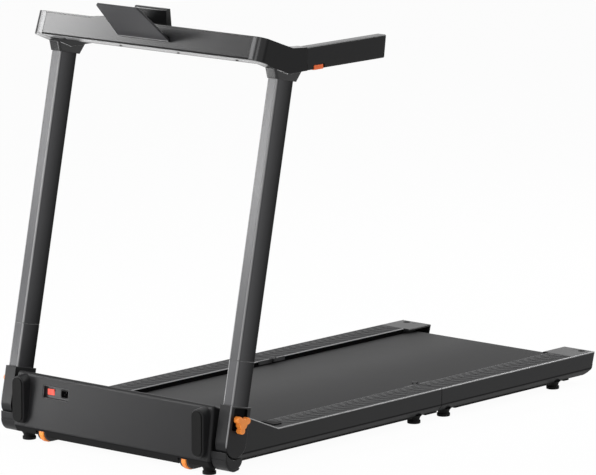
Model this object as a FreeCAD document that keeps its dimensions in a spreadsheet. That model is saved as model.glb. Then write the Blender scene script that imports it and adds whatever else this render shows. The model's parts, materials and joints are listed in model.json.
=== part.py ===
import FreeCAD, Part
import math
import os
import re

import Sketcher
from FreeCAD import Rotation, Vector

# Folding walking pad with a handrail. Millimetres, +Z up, the origin on the floor under its middle.
# The motor end is at -Y, the walker steps on at +Y, and left (+X) is the walker's left hand.

os.makedirs("parts", exist_ok=True)
doc = FreeCAD.newDocument("walking_pad")
dims = doc.addObject("Spreadsheet::Sheet", "dims")
nodes = []

sizes = {
    # Deck: side rails, covers and tread strips
    "rail_half": 310,           # half width over the side covers
    "rail_top": 76,             # top of the tread strips above the floor
    "rail_low": 20,             # underside of the side covers
    "crease_rise": 14,          # where the side turns under, above its lower edge
    "tuck": 9,                  # how far the lower edge turns in
    "cover_wall": 3,
    "strip_wide": 76,
    "strip_thick": 4,
    "lip_thick": 3,             # lip turned down at the strip's inner edge
    "lip_gap": 2.5,             # between that lip and the belt
    "strip_gap": 1,             # between the hood and the strips
    "fold_y": 126,              # seam where the deck folds
    "seam": 2,
    "fold_rise": 2,             # fold axis above the strips
    "fit_gap": 0.3,             # between neighbouring mouldings
    "rail_wide": 30,            # steel rail tube
    "tube_wall": 2,
    "cross_wide": 28,
    "cross_high": 16,
    "cross_front": 53,          # first cross tube behind the strips' front end
    "cross_fore": 56,           # next cross tubes before and behind the seam
    "cross_aft": 64,
    "cross_rear": 160,          # last cross tube before the deck's rear end

    # Belt, rollers and deck boards
    "belt_drop": 12,            # belt below the strips
    "belt_thick": 2,
    "belt_side": 4,             # between the belt's edge and the strip
    "soft_gap": 0.4,            # belt to rollers, pulleys and boards
    "roller_r": 19,
    "roller_over": 2,           # roller beyond the belt's edge
    "roller_reach": 72,         # front roller behind the motor
    "roller_back": 49,          # rear roller before the deck's rear end
    "axle_r": 6,
    "axle_short": 4,            # axle end inside the rail's outer face
    "run_fit": 0.05,            # radial clearance of a running shaft
    "board_thick": 15,
    "board_gap": 6,             # between the board and the rail
    "board_back": 31,           # board's end from the roller's middle
    "cushion_wide": 40,
    "cushion_high": 3.6,
    "cushion_round": 4,

    # Motor, pulleys and control box
    "motor_fore": 12,           # motor behind the front of its tube
    "motor_r": 36,
    "motor_lift": 3,            # motor above the front cross tube
    "motor_left": 60,
    "motor_right": -150,
    "shaft_r": 7,
    "flywheel_gap": 12,
    "flywheel_wide": 18,
    "pulley_r": 10,
    "roller_pulley_r": 21,
    "pulley_gap": 4,            # between roller and pulley
    "pulley_wide": 9,
    "pulley_clear": 5,          # between pulley and rail
    "box_left": 200,
    "box_right": 80,
    "box_deep": 52,
    "box_high": 26,
    "fin_count": 11,
    "fin_pitch": 10,

    # Front cross tube, pan and transport wheels
    "tube_gap": 7,              # between the transport wheel and the front cross tube
    "front_tube_high": 22,
    "pan_set": 11.6,            # pan behind the hood's front crease
    "pan_tail": 22,             # pan behind the hood's side walls
    "pan_in": 5,                # pan inside the deck's side
    "wheel_in": 85,             # wheel inside the deck's side
    "wheel_back": 29.6,         # wheel behind the hood's front crease
    "wheel_lift": 2,            # wheel above the floor
    "wheel_r": 24,
    "wheel_wide": 15,
    "wheel_pin_r": 4,
    "wheel_edge": 3,
    "wheel_tyre": 7,
    "wheel_dish": 2,            # web set in from the tyre and the hub
    "fork_gap": 1,              # wheel side to fork
    "fork_thick": 5,
    "fork_short": 2.5,          # fork inside the wheel's rim
    "fork_over": 3,             # fork above the front cross tube

    # Motor hood
    "toe_back": 8.6,            # lower front edge behind the front crease
    "brow_y": -705.6,           # front crease
    "brow_rise": 15,            # that crease above the hood's lower edge
    "rim_back": 16.1,           # top front edge behind the front crease, before rounding
    "hood_rise": 90,            # that edge above the strips
    "slope_long": 223.5,        # from that edge to the foot of the sloping top
    "foot_flat": 12,            # level part behind the foot
    "hood_wall": 4,
    "side_back": 52,            # rear end of the hood's own side walls, behind the pivot
    "rim_round": 9,
    "side_round": 6,            # edges of the hood's sides
    "foot_round": 36,           # bend at the foot of the sloping top
    "edge_land": 0.1,           # flat left beside the side covers' rounded top edge
    "notch_high": 11,           # hood's notches for the wheels
    "boss_in": 26.5,            # boss inside the deck's side
    "boss_wide": 36,
    "boss_border": 9.5,         # boss inside the hood's front, above and below
    "boss_draft": 5,
    "pad_out": 14.4,            # pads before the hood's front crease
    "pad_thick": 3,
    "pad_border": 3,            # boss left round the pad
    "rest_in": 49,              # rest pads for the folded half, inside the deck's side
    "rest_back": 15,            # their middle behind the strips' front end
    "rest_long": 50,
    "rest_narrow": 14,          # inner end
    "rest_broad": 27,           # outer end
    "rest_corner": 4,
    "recess_in": 128.5,         # recess with the mains switch and the inlet, inside the deck's side
    "recess_down": 41,          # its middle below the hood's top front edge
    "recess_wide": 83,
    "recess_high": 32,
    "recess_deep": 9,
    "recess_corner": 5,
    "tray_wall": 2,
    "tray_set": 0.6,            # tray rim below the hood's face
    "switch_side": 21.5,        # rocker beside the middle of the recess
    "switch_wide": 21,
    "switch_high": 15,
    "rocker_gap": 0.5,
    "rocker_set": 0.5,          # rocker pivot behind the tray's face
    "rocker_out": 3.4,          # raised end of the rocker before its pivot
    "rocker_mid": 2.2,
    "rocker_in": 1.6,           # pressed end
    "inlet_side": 22.9,         # inlet beside the middle of the recess
    "inlet_wide": 26,
    "inlet_high": 20,
    "inlet_wall": 2,
    "inlet_deep": 17,
    "inlet_pin": 9,
    "inlet_pin_wide": 2,
    "inlet_pin_high": 4,
    "inlet_pin_x": 6,
    "inlet_pin_z": 3,

    # Feet
    "foot_in": 25,              # feet inside the deck's side
    "foot_back": 28.6,          # first feet behind the hood's front crease
    "foot_fore": 74,            # feet before and behind the seam
    "foot_aft": 37,
    "foot_rear": 135,           # last feet before the deck's rear end
    "foot_r": 16,
    "foot_pad": 7,
    "foot_edge": 1.5,
    "foot_bell": 16,
    "foot_waist": 13.5,
    "foot_flare": 20,

    # Rear end caps
    "cap_long": 87,
    "deck_rear": 720,
    "cap_over": 15,             # cap over the belt's edge
    "cap_lean": 8,              # rear face leans in by this much
    "cap_corner": 28,
    "cap_wall": 4,
    "screw_in": 44,             # screw from the cap's inner edge
    "screw_back": 15,           # screw before the cap's rear end
    "screw_r": 5,
    "bolt_r": 4,
    "bolt_head_r": 7,
    "bolt_head": 5,
    "bolt_room": 8,             # from the rail's end to the inside of the cap

    # Fold hinge at the deck's seam
    "knuckle_r": 3.6,
    "knuckle_wide": 7.5,
    "hinge_pin_r": 1.8,
    "leaf_long": 46,
    "leaf_thick": 4,

    # Upright, its boot and the pivot
    "pivot_fore": 19,           # pivot before the front cross tube
    "pivot_up": 3,              # pivot above the strips
    "pivot_r": 10,
    "pivot_short": 6,           # pivot pin inside the boot's outer face
    "bracket_thick": 13,
    "bracket_border": 12,       # bracket before the pivot
    "bracket_rise": 40,
    "rake": 12,                 # lean of the uprights
    "boot_r": 35,
    "boot_edge": 2.5,
    "boot_gap": 4,              # dark gap between boot and base cap
    "boot_clear": 13,           # between the deck's side and the boot
    "hub_clear": 3,             # between the deck's side and the boot's hub
    "hub_r": 20,
    "boot_lap": 2,              # boot wider than the upright
    "boot_top": 84,             # above the pivot, along the upright
    "base_drop": 2,             # base cap below the side covers
    "base_flat": 4,             # flat underside of the base cap
    "base_back": 21,            # base cap behind the pivot
    "upright_wide": 32,
    "upright_deep": 58,
    "upright_corner": 6,
    "upright_top": 836,
    "spigot_long": 60,
    "split_up": 187,            # seam round the upright, above the pivot
    "split_high": 1.2,
    "split_deep": 0.7,
    "window_low": 28,
    "window_border": 4,         # boot above the window
    "window_half": 23,
    "window_deep": 4,
    "window_round": 5,
    "knob_up": 46,              # lock knob above the pivot, along the upright
    "knob_r": 13,
    "lobe_r": 8,
    "lobe_out": 16,
    "knob_gap": 1,              # between boot and knob
    "knob_thick": 14,
    "knob_hub_r": 8,
    "knob_stem_r": 5,
    "stem_short": 9,            # stem's end inside the boot

    # Console, its corners, arms and latches
    "con_fore": 75.8,           # top front edge of the console, before the upright's top
    "con_up": 104.3,            # and above it
    "con_deep": 106,
    "con_tall": 56,
    "con_tilt": 19.5,
    "con_wall": 3,
    "con_keel": 44,             # depth of the console's underside before it slopes up
    "con_heel": 14,             # its rear edge below the panel
    "hump_low": 179,            # raised front edge before the keys
    "hump_top": 146,
    "hump_fall": 83,
    "hump_end": 50,
    "hump_rise": 4,
    "hump_gap": 2,              # between that and the display pod
    "arm_step": 6,              # arm's inner face beside the corner's
    "corner_round": 20,
    "seam_back": 48.5,          # arm's seam behind the console
    "arm_gap": 0.5,
    "arm_drop": 4.5,            # arm's underside below the console's rear edge
    "arm_tall": 54,
    "arm_long": 278.4,
    "arm_lean": 7,              # end of the arm leans out by this much
    "arm_round": 4,
    "arm_axis_in": 2,           # fold axis inside the arm's inner face
    "arm_pin_r": 2.5,
    "arm_knuckle_r": 5.5,
    "arm_knuckle_high": 14,
    "latch_back": 38,           # latch behind the arm's seam
    "latch_long": 31,
    "latch_high": 10,
    "latch_deep": 12,
    "latch_travel": 6,
    "latch_proud": 1,
    "collar_hold": 2.5,         # collar over the upright
    "collar_rise": 28,          # collar above the upright
    "collar_skin": 1,           # collar beside the upright
    "collar_lap": 2,            # collar before the upright
    "collar_tail": 9,           # and behind it
    "collar_flare": 101,
    "collar_back": 4.5,
    "collar_round": 5,

    # Display pod, buttons and phone flap
    "pod_front": 79.5,          # lower edge of the display, before the console's rear edge
    "pod_half": 50,
    "pod_tilt": 84,
    "pod_len": 45,
    "pod_set": 8,               # pod behind the console's front
    "pod_tall": 40,
    "pod_round": 5,
    "lens_border": 9,           # pod beside the window
    "lens_low": 10,             # pod below and above the window
    "lens_thick": 1.5,
    "button_fore": 40,          # keys before the console's rear edge
    "button_r": 11,
    "button_rise": 2.5,
    "button_skirt": 7,
    "start_x": -100,
    "faster_x": -136,
    "slower_x": -172,
    "flap_axis_out": 5.5,       # flap hinge in front of the console's face
    "flap_axis_down": 26.5,
    "flap_rise": 42,            # flap above the horizontal
    "flap_long": 118,
    "flap_low_half": 79.5,
    "flap_top_half": 64.5,
    "flap_thick": 5,
    "flap_tail": 6,             # flap below its hinge
    "flap_barrel_r": 4,
    "flap_barrel_half": 58,
    "flap_pin_r": 1.5,
    "lug_wide": 8,
    "lug_gap": 0.5,
}

# places and sizes that follow from those
places = {
    "crease": "rail_low + crease_rise",
    "belt_top": "rail_top - belt_drop",
    "belt_half": "rail_half - strip_wide - belt_side",
    "roller_half": "belt_half + roller_over",
    "pulley_x": "-(roller_half + pulley_gap + pulley_wide)",
    "flange_in": "pulley_clear - pulley_x",
    "axle_half": "flange_in + rail_wide - axle_short",
    "board_half": "flange_in - board_gap",
    "cross_lift": "belt_top - belt_thick - soft_gap - board_thick - cushion_high - cross_high",
    "cross_two": "fold_y - cross_fore",
    "cross_three": "fold_y + cross_aft",
    "cross_four": "deck_rear - cross_rear",
    "rear_roller_y": "deck_rear - roller_back",
    "board_rear": "rear_roller_y - board_back",
    "foot_x": "rail_half - foot_in",
    "foot_one": "brow_y + foot_back",
    "foot_two": "fold_y - foot_fore",
    "foot_three": "fold_y + foot_aft",
    "foot_four": "deck_rear - foot_rear",
    "cap_front": "deck_rear - cap_long",
    "cap_in": "belt_half - cap_over",
    "screw_x": "cap_in + screw_in",
    "screw_y": "deck_rear - screw_back",
    "hood_edge": "cover_wall - edge_land",
    "hood_toe_y": "brow_y + toe_back",
    "brow_z": "rail_low + brow_rise",
    "rim_y": "brow_y + rim_back",
    "rim_z": "rail_top + hood_rise",
    "slope_foot_y": "rim_y + slope_long",
    "hood_rear": "slope_foot_y + foot_flat",
    "strip_front": "hood_rear + strip_gap",
    "cross_one": "strip_front + cross_front",
    "notch_top": "rail_low + notch_high",
    "boss_x": "rail_half - boss_in",
    "boss_z": "(brow_z + rim_z) / 2",
    "boss_high": "rim_z - brow_z - 2 * boss_border",
    "pad_face": "brow_y - pad_out",
    "pad_wide": "boss_wide - 2 * pad_border",
    "pad_high": "boss_high - 2 * pad_border",
    "rest_x": "rail_half - rest_in",
    "rest_y": "strip_front + rest_back",
    "recess_x": "recess_in - rail_half",
    "recess_z": "rim_z - recess_down",
    "switch_x": "recess_x - switch_side",
    "inlet_x": "recess_x + inlet_side",
    "wheel_x": "rail_half - wheel_in",
    "wheel_y": "brow_y + wheel_back",
    "wheel_z": "wheel_r + wheel_lift",
    "fork_low": "wheel_lift + fork_short",
    "fork_high": "rail_low + cover_wall + front_tube_high + fork_over",
    "front_tube_y": "wheel_y + wheel_r + tube_gap",
    "motor_y": "front_tube_y + motor_fore",
    "front_roller_y": "motor_y + roller_reach",
    "board_front": "front_roller_y + board_back",
    "pivot_y": "front_tube_y - pivot_fore",
    "pivot_z": "rail_top + pivot_up",
    "hood_side_rear": "pivot_y + side_back",
    "pan_front": "brow_y + pan_set",
    "pan_rear": "hood_side_rear + pan_tail",
    "pan_half": "rail_half - pan_in",
    "bracket_half": "pivot_r + bracket_border",
    "boot_in": "rail_half + boot_clear",
    "boot_out": "boot_in + upright_wide + boot_lap",
    "pivot_end": "boot_out - pivot_short",
    "base_low": "rail_low - base_drop",
    "upright_x": "boot_in + upright_wide / 2",
    "window_top": "boot_top - window_border",
    "knob_face": "boot_out + knob_gap + knob_thick",
    "knob_stem_in": "boot_in + stem_short",
    "collar_low": "upright_top - collar_hold",
    "collar_top": "upright_top + collar_rise",
    "collar_wide": "upright_wide + 2 * collar_skin",
    "collar_deep": "upright_deep + collar_lap + collar_tail",
    "con_y": "pivot_y + upright_top * sin(rake) - con_fore",
    "con_z": "pivot_z + upright_top * cos(rake) + con_up",
    "corner_in": "upright_x - collar_wide / 2",
    "corner_out": "upright_x + collar_wide / 2",
    "arm_in": "corner_in + arm_step",
    "arm_seam": "con_y + con_deep * cos(con_tilt) + seam_back",
    "arm_end": "arm_seam + arm_long",
    "latch_y": "arm_seam + latch_back",
    "hump_deep": "pod_set - hump_gap",
    "pod_y": "con_deep - pod_front",
    "pod_deep": "pod_y - pod_set",
    "button_y": "con_deep - button_fore",
    "lens_half": "pod_half - lens_border",
    "lens_high": "pod_len - lens_low",
}
cells = {**sizes, **places}
for row, (alias, content) in enumerate(cells.items(), 1):
    dims.set(f"A{row}", alias)
    dims.set(f"B{row}", f"={content}")
    dims.setAlias(f"B{row}", alias)
doc.recompute()


def sized(text):
    return re.sub(r"[a-z]\w*", lambda word: f"dims.{word[0]}" if word[0] in cells else word[0], str(text))


def value(text):
    return float(dims.evalExpression(sized(text)))


near = value("fit_gap") / 6     # how close an edge lies to the place where it is looked up


def new_body(label):
    body = doc.addObject("PartDesign::Body", label)
    body.Label = label
    return body


def node(label):
    body = new_body(label)
    nodes.append(body)
    return body


def place(body, x, y, z):
    for axis, text in zip("xyz", (x, y, z)):
        body.setExpression(f"Placement.Base.{axis}", sized(text))


def lean(body, angle, direction):
    # turns the body about X, rearward for direction -1
    body.Placement.Rotation = Rotation(Vector(direction, 0, 0), value(angle))
    body.setExpression("Placement.Rotation.Angle", sized(angle))


def mirrored(source, label):
    copy = doc.addObject("Part::Mirroring", label)
    copy.Label = label
    copy.Source = source
    copy.Normal = Vector(1, 0, 0)
    return copy


def mirrored_node(source, label):
    nodes.append(mirrored(source, label))


def group(label, members):
    bundle = doc.addObject("Part::Compound", label)
    bundle.Label = label
    bundle.Links = members
    nodes.append(bundle)


def box(left, low, right, top):
    return [(left, low), (right, low), (right, top), (left, top)]


def rounded(x, y, wide, high, corner_radius):
    radius = f"({corner_radius})"
    left, right = f"({x}) - ({wide}) / 2", f"({x}) + ({wide}) / 2"
    low, top = f"({y}) - ({high}) / 2", f"({y}) + ({high}) / 2"
    return [
        (f"{left} + {radius}", low, radius), (f"{right} - {radius}", low),
        (right, f"{low} + {radius}", radius), (right, f"{top} - {radius}"),
        (f"{right} - {radius}", top, radius), (f"{left} + {radius}", top),
        (left, f"{top} - {radius}", radius), (left, f"{low} + {radius}")]


def stadium(x, y, wide, high):
    radius = f"({wide}) / 2"
    left, right = f"({x}) - {radius}", f"({x}) + {radius}"
    low, top = f"({y}) - ({high}) / 2", f"({y}) + ({high}) / 2"
    return [
        (right, f"{low} + {radius}", radius), (right, f"{top} - {radius}"),
        (x, top, radius), (left, f"{top} - {radius}", radius),
        (left, f"{low} + {radius}"), (x, low, radius)]


def circle(x, y, reach):
    radius = f"({reach})"
    return [
        (f"{x} + {radius}", y, radius), (x, f"{y} + {radius}", radius),
        (f"{x} - {radius}", y, radius), (x, f"{y} - {radius}", radius)]


def arc_between(start, end, radius, turn):
    # arc of less than half a turn, to the left for turn 1 and to the right for turn -1
    chord = end - start
    middle = (start + end) * 0.5
    rise = math.sqrt(max(radius ** 2 - (chord.Length / 2) ** 2, 0))
    side = Vector(-chord.y, chord.x, 0).normalize()
    centre = middle + side * (rise * turn)
    first, last = (start, end) if turn > 0 else (end, start)
    begin = math.atan2(first.y - centre.y, first.x - centre.x)
    finish = math.atan2(last.y - centre.y, last.x - centre.x)
    if finish < begin:
        finish += 2 * math.pi
    return Part.ArcOfCircle(Part.Circle(centre, Vector(0, 0, 1), radius), begin, finish)


def trace(sketch, corners):
    # one closed outline; a corner's third entry is the radius of the arc that ends there
    spots = [Vector(value(corner[0]), value(corner[1]), 0) for corner in corners]
    ends = []
    for index, corner in enumerate(corners):
        start, end = spots[index - 1], spots[index]
        if len(corner) == 2:
            number = sketch.addGeometry(Part.LineSegment(start, end))
            ends.append((number, 1, 2))
            continue
        turn = corner[3] if len(corner) == 4 else 1
        number = sketch.addGeometry(arc_between(start, end, value(corner[2]), turn))
        ends.append((number, 1, 2) if turn > 0 else (number, 2, 1))
    for index, corner in enumerate(corners):
        number, _, last = ends[index]
        following, first, _ = ends[(index + 1) % len(ends)]
        sketch.addConstraint(Sketcher.Constraint("Coincident", number, last, following, first))
        for kind, text in (("DistanceX", corner[0]), ("DistanceY", corner[1])):
            bound = sketch.addConstraint(Sketcher.Constraint(kind, -1, 1, number, last, value(text)))
            sketch.setExpression(f"Constraints[{bound}]", sized(text))
        if len(corner) > 2:
            bound = sketch.addConstraint(Sketcher.Constraint("Radius", number, value(corner[2])))
            sketch.setExpression(f"Constraints[{bound}]", sized(corner[2]))


def rebuild(feature):
    doc.recompute()
    if "Invalid" in feature.State or feature.Shape.isNull() or not feature.Shape.isValid():
        raise RuntimeError(f"{feature.Label} did not rebuild")


def draw(body, plane, outlines, start):
    sketch = body.newObject("Sketcher::SketchObject", f"{body.Label}_sketch")
    origin = next(item for item in body.Origin.OriginFeatures if item.Role == f"{plane}_Plane")
    sketch.AttachmentSupport = [(origin, "")]
    sketch.MapMode = "FlatFace"
    # the XZ plane faces -Y
    offset = f"-({start})" if plane == "XZ" else start
    sketch.setExpression("AttachmentOffset.Base.z", sized(offset))
    for corners in outlines:
        trace(sketch, corners)
    return sketch


def extrude(body, plane, outlines, start, length, cut=False, draft=None):
    # from start, along the positive axis across the plane
    if isinstance(outlines[0], tuple):
        outlines = [outlines]
    sketch = draw(body, plane, outlines, start)
    before = body.Shape.Volume if cut else 0
    feature = body.newObject("PartDesign::Pocket" if cut else "PartDesign::Pad", f"{body.Label}_feature")
    feature.Profile = sketch
    feature.setExpression("Length", sized(length))
    feature.Reversed = (plane == "XZ") != cut
    if draft:
        feature.setExpression("TaperAngle", sized(draft))
    rebuild(feature)
    if cut and not feature.Shape.Volume < before - near ** 3:
        raise RuntimeError(f"a cut in {body.Label} removes nothing")


def cut(body, plane, outlines, start, length):
    extrude(body, plane, outlines, start, length, cut=True)


def revolve(body, corners, axis="H_Axis"):
    # section in X and Z, turned about X or, for V_Axis, about Z
    sketch = draw(body, "XZ", [corners], "0")
    feature = body.newObject("PartDesign::Revolution", f"{body.Label}_turn")
    feature.Profile = sketch
    feature.ReferenceAxis = (sketch, [axis])
    feature.Angle = 360
    rebuild(feature)


def through(edge, axis, spots):
    # does the edge run along the axis through one of the named spots of the other two axes
    others = [index for index in range(3) if index != "XYZ".index(axis)]
    points = [vertex.Point for vertex in edge.Vertexes]
    if len(points) != 2 or (points[0] - points[1]).Length < near:
        return False
    for spot in spots:
        wanted = [value(text) for text in spot]
        if all(abs(point[index] - want) < near for point in points for index, want in zip(others, wanted)):
            return True
    return False


def round_edges(body, radius, pick):
    base = body.Tip
    names = [f"Edge{index + 1}" for index, edge in enumerate(base.Shape.Edges) if pick(edge)]
    if not names:
        raise RuntimeError(f"no edge to round in {body.Label}")
    feature = body.newObject("PartDesign::Fillet", f"{body.Label}_round")
    feature.Base = (base, names)
    feature.setExpression("Radius", sized(radius))
    rebuild(feature)


def round_along(body, radius, axis, *spots):
    round_edges(body, radius, lambda edge: through(edge, axis, spots))


def on_plane(axis, text, side=None):
    # picks the edges that lie wholly in one plane across the axis, or only those near one X
    index = "XYZ".index(axis)

    def pick(edge):
        bounds = edge.BoundBox
        flat = (bounds.XLength, bounds.YLength, bounds.ZLength)[index] < near
        beside = side is None or abs(bounds.Center.x - value(side)) < value("boss_wide")
        return flat and beside and abs(bounds.Center[index] - value(text)) < near
    return pick


# Heights and places that several pieces share
strip_in = "(rail_half - strip_wide)"
cover_in = "(rail_half - cover_wall)"
rail_base = "(rail_low + cover_wall)"
rail_crown = "(rail_top - strip_thick)"
roller_z = "(belt_top - belt_thick - soft_gap - roller_r)"
belt_in_r = "(roller_r + soft_gap)"
board_top = "(belt_top - belt_thick - soft_gap)"
cross_top = "(cross_lift + cross_high)"
front_end = "(fold_y - seam / 2)"
rear_start = "(fold_y + seam / 2)"
fold_z = "(rail_top + fold_rise)"
front_tube_top = f"({rail_base} + front_tube_high)"
front_tube_rear = "(front_tube_y + cross_wide)"
motor_z = f"({front_tube_top} + motor_lift + motor_r)"
slope = "((rim_z - rail_top) / (slope_foot_y - rim_y))"
rail_out = "(flange_in + rail_wide)"
hood_side_in = f"({cover_in} - fit_gap)"
bracket_in = f"({hood_side_in} - bracket_thick)"
cap_toe = "(deck_rear - cap_lean - cap_corner)"
rear_rail_end = "(deck_rear - cap_lean - cap_wall - bolt_room)"

# Steel frame: square tubes, butt welded
front_members = []
for label, left in (("left", "flange_in"), ("right", f"-{rail_out}")):
    rail = new_body(f"front_rail_{label}")
    outer = box(left, rail_base, f"{left} + rail_wide", rail_crown)
    inner = box(f"{left} + tube_wall", f"{rail_base} + tube_wall",
                f"{left} + rail_wide - tube_wall", f"{rail_crown} - tube_wall")
    extrude(rail, "XZ", [outer, inner], front_tube_rear, f"{front_end} - {front_tube_rear}")
    cut(rail, "YZ", circle("front_roller_y", roller_z, "axle_r + run_fit"), left, "rail_wide")
    front_members.append(rail)

nose_tube = new_body("nose_tube")
nose_outer = box("front_tube_y", rail_base, front_tube_rear, front_tube_top)
nose_inner = box("front_tube_y + tube_wall", f"{rail_base} + tube_wall",
                 f"{front_tube_rear} - tube_wall", f"{front_tube_top} - tube_wall")
extrude(nose_tube, "YZ", [nose_outer, nose_inner], f"-{bracket_in}", f"2 * {bracket_in}")
front_members.append(nose_tube)


def cross_tube(label, y):
    tube = new_body(label)
    outer = box(f"{y} - cross_wide / 2", "cross_lift", f"{y} + cross_wide / 2", cross_top)
    inner = box(f"{y} - cross_wide / 2 + tube_wall", "cross_lift + tube_wall",
                f"{y} + cross_wide / 2 - tube_wall", f"{cross_top} - tube_wall")
    extrude(tube, "YZ", [outer, inner], "-flange_in", "2 * flange_in")
    return tube


front_members.append(cross_tube("cross_tube_one", "cross_one"))
front_members.append(cross_tube("cross_tube_two", "cross_two"))
group("front_frame", front_members)

rear_members = []
for label, left in (("left", "flange_in"), ("right", f"-{rail_out}")):
    rail = new_body(f"rear_rail_{label}")
    outer = box(left, rail_base, f"{left} + rail_wide", rail_crown)
    inner = box(f"{left} + tube_wall", f"{rail_base} + tube_wall",
                f"{left} + rail_wide - tube_wall", f"{rail_crown} - tube_wall")
    extrude(rail, "XZ", [outer], rear_start, f"{rear_rail_end} - {rear_start}")
    cut(rail, "XZ", [inner], rear_start, f"{rear_rail_end} - tube_wall - {rear_start}")
    cut(rail, "YZ", circle("rear_roller_y", roller_z, "axle_r + run_fit"), left, "rail_wide")
    cut(rail, "XZ", circle(f"{left} + rail_wide / 2", roller_z, "bolt_r + run_fit"),
        f"{rear_rail_end} - 2 * tube_wall", "3 * tube_wall")
    rear_members.append(rail)
rear_members.append(cross_tube("cross_tube_three", "cross_three"))
rear_members.append(cross_tube("cross_tube_four", "cross_four"))
group("rear_frame", rear_members)

# Side covers: thin mouldings with a turned-under lower edge
cover_section = [
    ("rail_half", "crease"), ("rail_half", "rail_top"), (cover_in, "rail_top"),
    (cover_in, "crease + cover_wall / 2"),
    ("rail_half - tuck", rail_base), ("flange_in", rail_base), ("flange_in", "rail_low"),
    ("rail_half - tuck - cover_wall / 2", "rail_low")]
front_cover = node("front_side_cover_left")
extrude(front_cover, "XZ", cover_section, "hood_side_rear", f"{front_end} - hood_side_rear")
slope_top = f"(rail_top + (slope_foot_y - hood_side_rear) * {slope})"
extrude(front_cover, "YZ", [
    ("hood_side_rear", "crease + cover_wall"), ("slope_foot_y", "crease + cover_wall"),
    ("slope_foot_y", "rail_top"), ("hood_side_rear", slope_top)], cover_in, "cover_wall")
round_along(front_cover, "tuck", "Y", ("rail_half", "crease"))


def cover_rim(edge):
    bounds = edge.BoundBox
    outside = bounds.XMin > value("rail_half") - near and bounds.ZMin > value("rail_top") - near
    return outside and bounds.YLength > value("hood_wall")


round_edges(front_cover, "hood_edge", cover_rim)
mirrored_node(front_cover, "front_side_cover_right")

rear_cover = node("rear_side_cover_left")
extrude(rear_cover, "XZ", cover_section, rear_start, f"deck_rear - {rear_start}")
round_along(rear_cover, "tuck", "Y", ("rail_half", "crease"))
round_edges(rear_cover, "hood_edge", cover_rim)
cut(rear_cover, "YZ", [
    ("deck_rear + cap_wall", "rail_low - cap_wall"), ("deck_rear + cap_wall", "rail_top + cap_wall"),
    ("deck_rear", "rail_top + cap_wall"), ("deck_rear", "rail_top"),
    ("deck_rear - cap_lean", "rail_low + cap_corner"), (cap_toe, "rail_low", "cap_corner", -1),
    (cap_toe, "rail_low - cap_wall")], "flange_in - cap_wall", "rail_half")
mirrored_node(rear_cover, "rear_side_cover_right")


# Tread strips with a lip turned down beside the belt
def tread_strip(label, start, end):
    strip = new_body(label)
    lip_low = "belt_top + lip_gap"
    extrude(strip, "XZ", [
        (strip_in, lip_low), (f"{strip_in} + lip_thick", lip_low), (f"{strip_in} + lip_thick", rail_crown),
        (cover_in, rail_crown), (cover_in, "rail_top"), (strip_in, "rail_top")],
        start, f"{end} - ({start})")
    round_along(strip, "lip_thick / 2", "Y", (strip_in, "rail_top"))
    return strip


front_strip = tread_strip("front_strip", "strip_front", front_end)
group("front_tread_strips", [front_strip, mirrored(front_strip, "front_strip_right")])
rear_strip = tread_strip("rear_strip", rear_start, "cap_front")
group("rear_tread_strips", [rear_strip, mirrored(rear_strip, "rear_strip_right")])


# Deck boards on rubber cushions over the cross tubes
def deck_board(label, start, end):
    board = node(label)
    extrude(board, "XZ", box("-board_half", f"{board_top} - board_thick", "board_half", board_top),
            start, f"{end} - ({start})")
    round_along(board, "board_thick / 4", "X", (start, board_top), (end, board_top))


def cushions(label, rows):
    pads = []
    for number, y in enumerate(rows):
        pad = new_body(f"{label}_{number}")
        outline = rounded("board_half - cushion_wide", y, "cushion_wide", "cross_wide", "cushion_round")
        extrude(pad, "XY", outline, cross_top, "cushion_high")
        pads.append(pad)
        pads.append(mirrored(pad, f"{label}_{number}_right"))
    group(label, pads)


deck_board("front_deck_board", "board_front", front_end)
deck_board("rear_deck_board", rear_start, "board_rear")
cushions("front_cushions", ("cross_one", "cross_two"))
cushions("rear_cushions", ("cross_three", "cross_four"))


# Rollers on fixed axles, and the walking belt round them
def belt_loop(radius):
    return [
        ("rear_roller_y", f"{roller_z} - {radius}"), (f"rear_roller_y + {radius}", roller_z, radius),
        ("rear_roller_y", f"{roller_z} + {radius}", radius), ("front_roller_y", f"{roller_z} + {radius}"),
        (f"front_roller_y - {radius}", roller_z, radius),
        ("front_roller_y", f"{roller_z} - {radius}", radius)]


walking_belt = node("walking_belt")
extrude(walking_belt, "YZ", [belt_loop(f"({belt_in_r} + belt_thick)"), belt_loop(belt_in_r)],
        "-belt_half", "2 * belt_half")

pulley_end = "(pulley_x + pulley_wide)"
front_roller = node("front_roller")
revolve(front_roller, [
    ("roller_half", "axle_r + run_fit"), ("roller_half", "roller_r"), (pulley_end, "roller_r"),
    (pulley_end, "roller_pulley_r"), ("pulley_x", "roller_pulley_r"), ("pulley_x", "axle_r + run_fit")])
place(front_roller, "0", "front_roller_y", roller_z)

rear_roller = node("rear_roller")
revolve(rear_roller, [
    ("roller_half", "axle_r + run_fit"), ("roller_half", "roller_r"), ("-roller_half", "roller_r"),
    ("-roller_half", "axle_r + run_fit")])
place(rear_roller, "0", "rear_roller_y", roller_z)

for label, y in (("front_roller_axle", "front_roller_y"), ("rear_roller_axle", "rear_roller_y")):
    axle = node(label)
    extrude(axle, "YZ", circle("0", "0", "axle_r"), "-axle_half", "2 * axle_half")
    place(axle, "0", y, roller_z)

# Motor with its flywheel, drive belt and control box
motor = node("motor_case")
extrude(motor, "YZ", circle("motor_y", motor_z, "motor_r"), "motor_right", "motor_left - motor_right")
extrude(motor, "YZ", box("front_tube_y", front_tube_top, front_tube_rear, motor_z),
        "motor_right + motor_r", "motor_left - motor_right - 2 * motor_r")
round_edges(motor, "motor_r / 6", on_plane("X", "motor_left"))
cut(motor, "YZ", circle("motor_y", motor_z, "shaft_r + run_fit"),
    "motor_right", "motor_left - motor_right - motor_r / 2")

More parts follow.
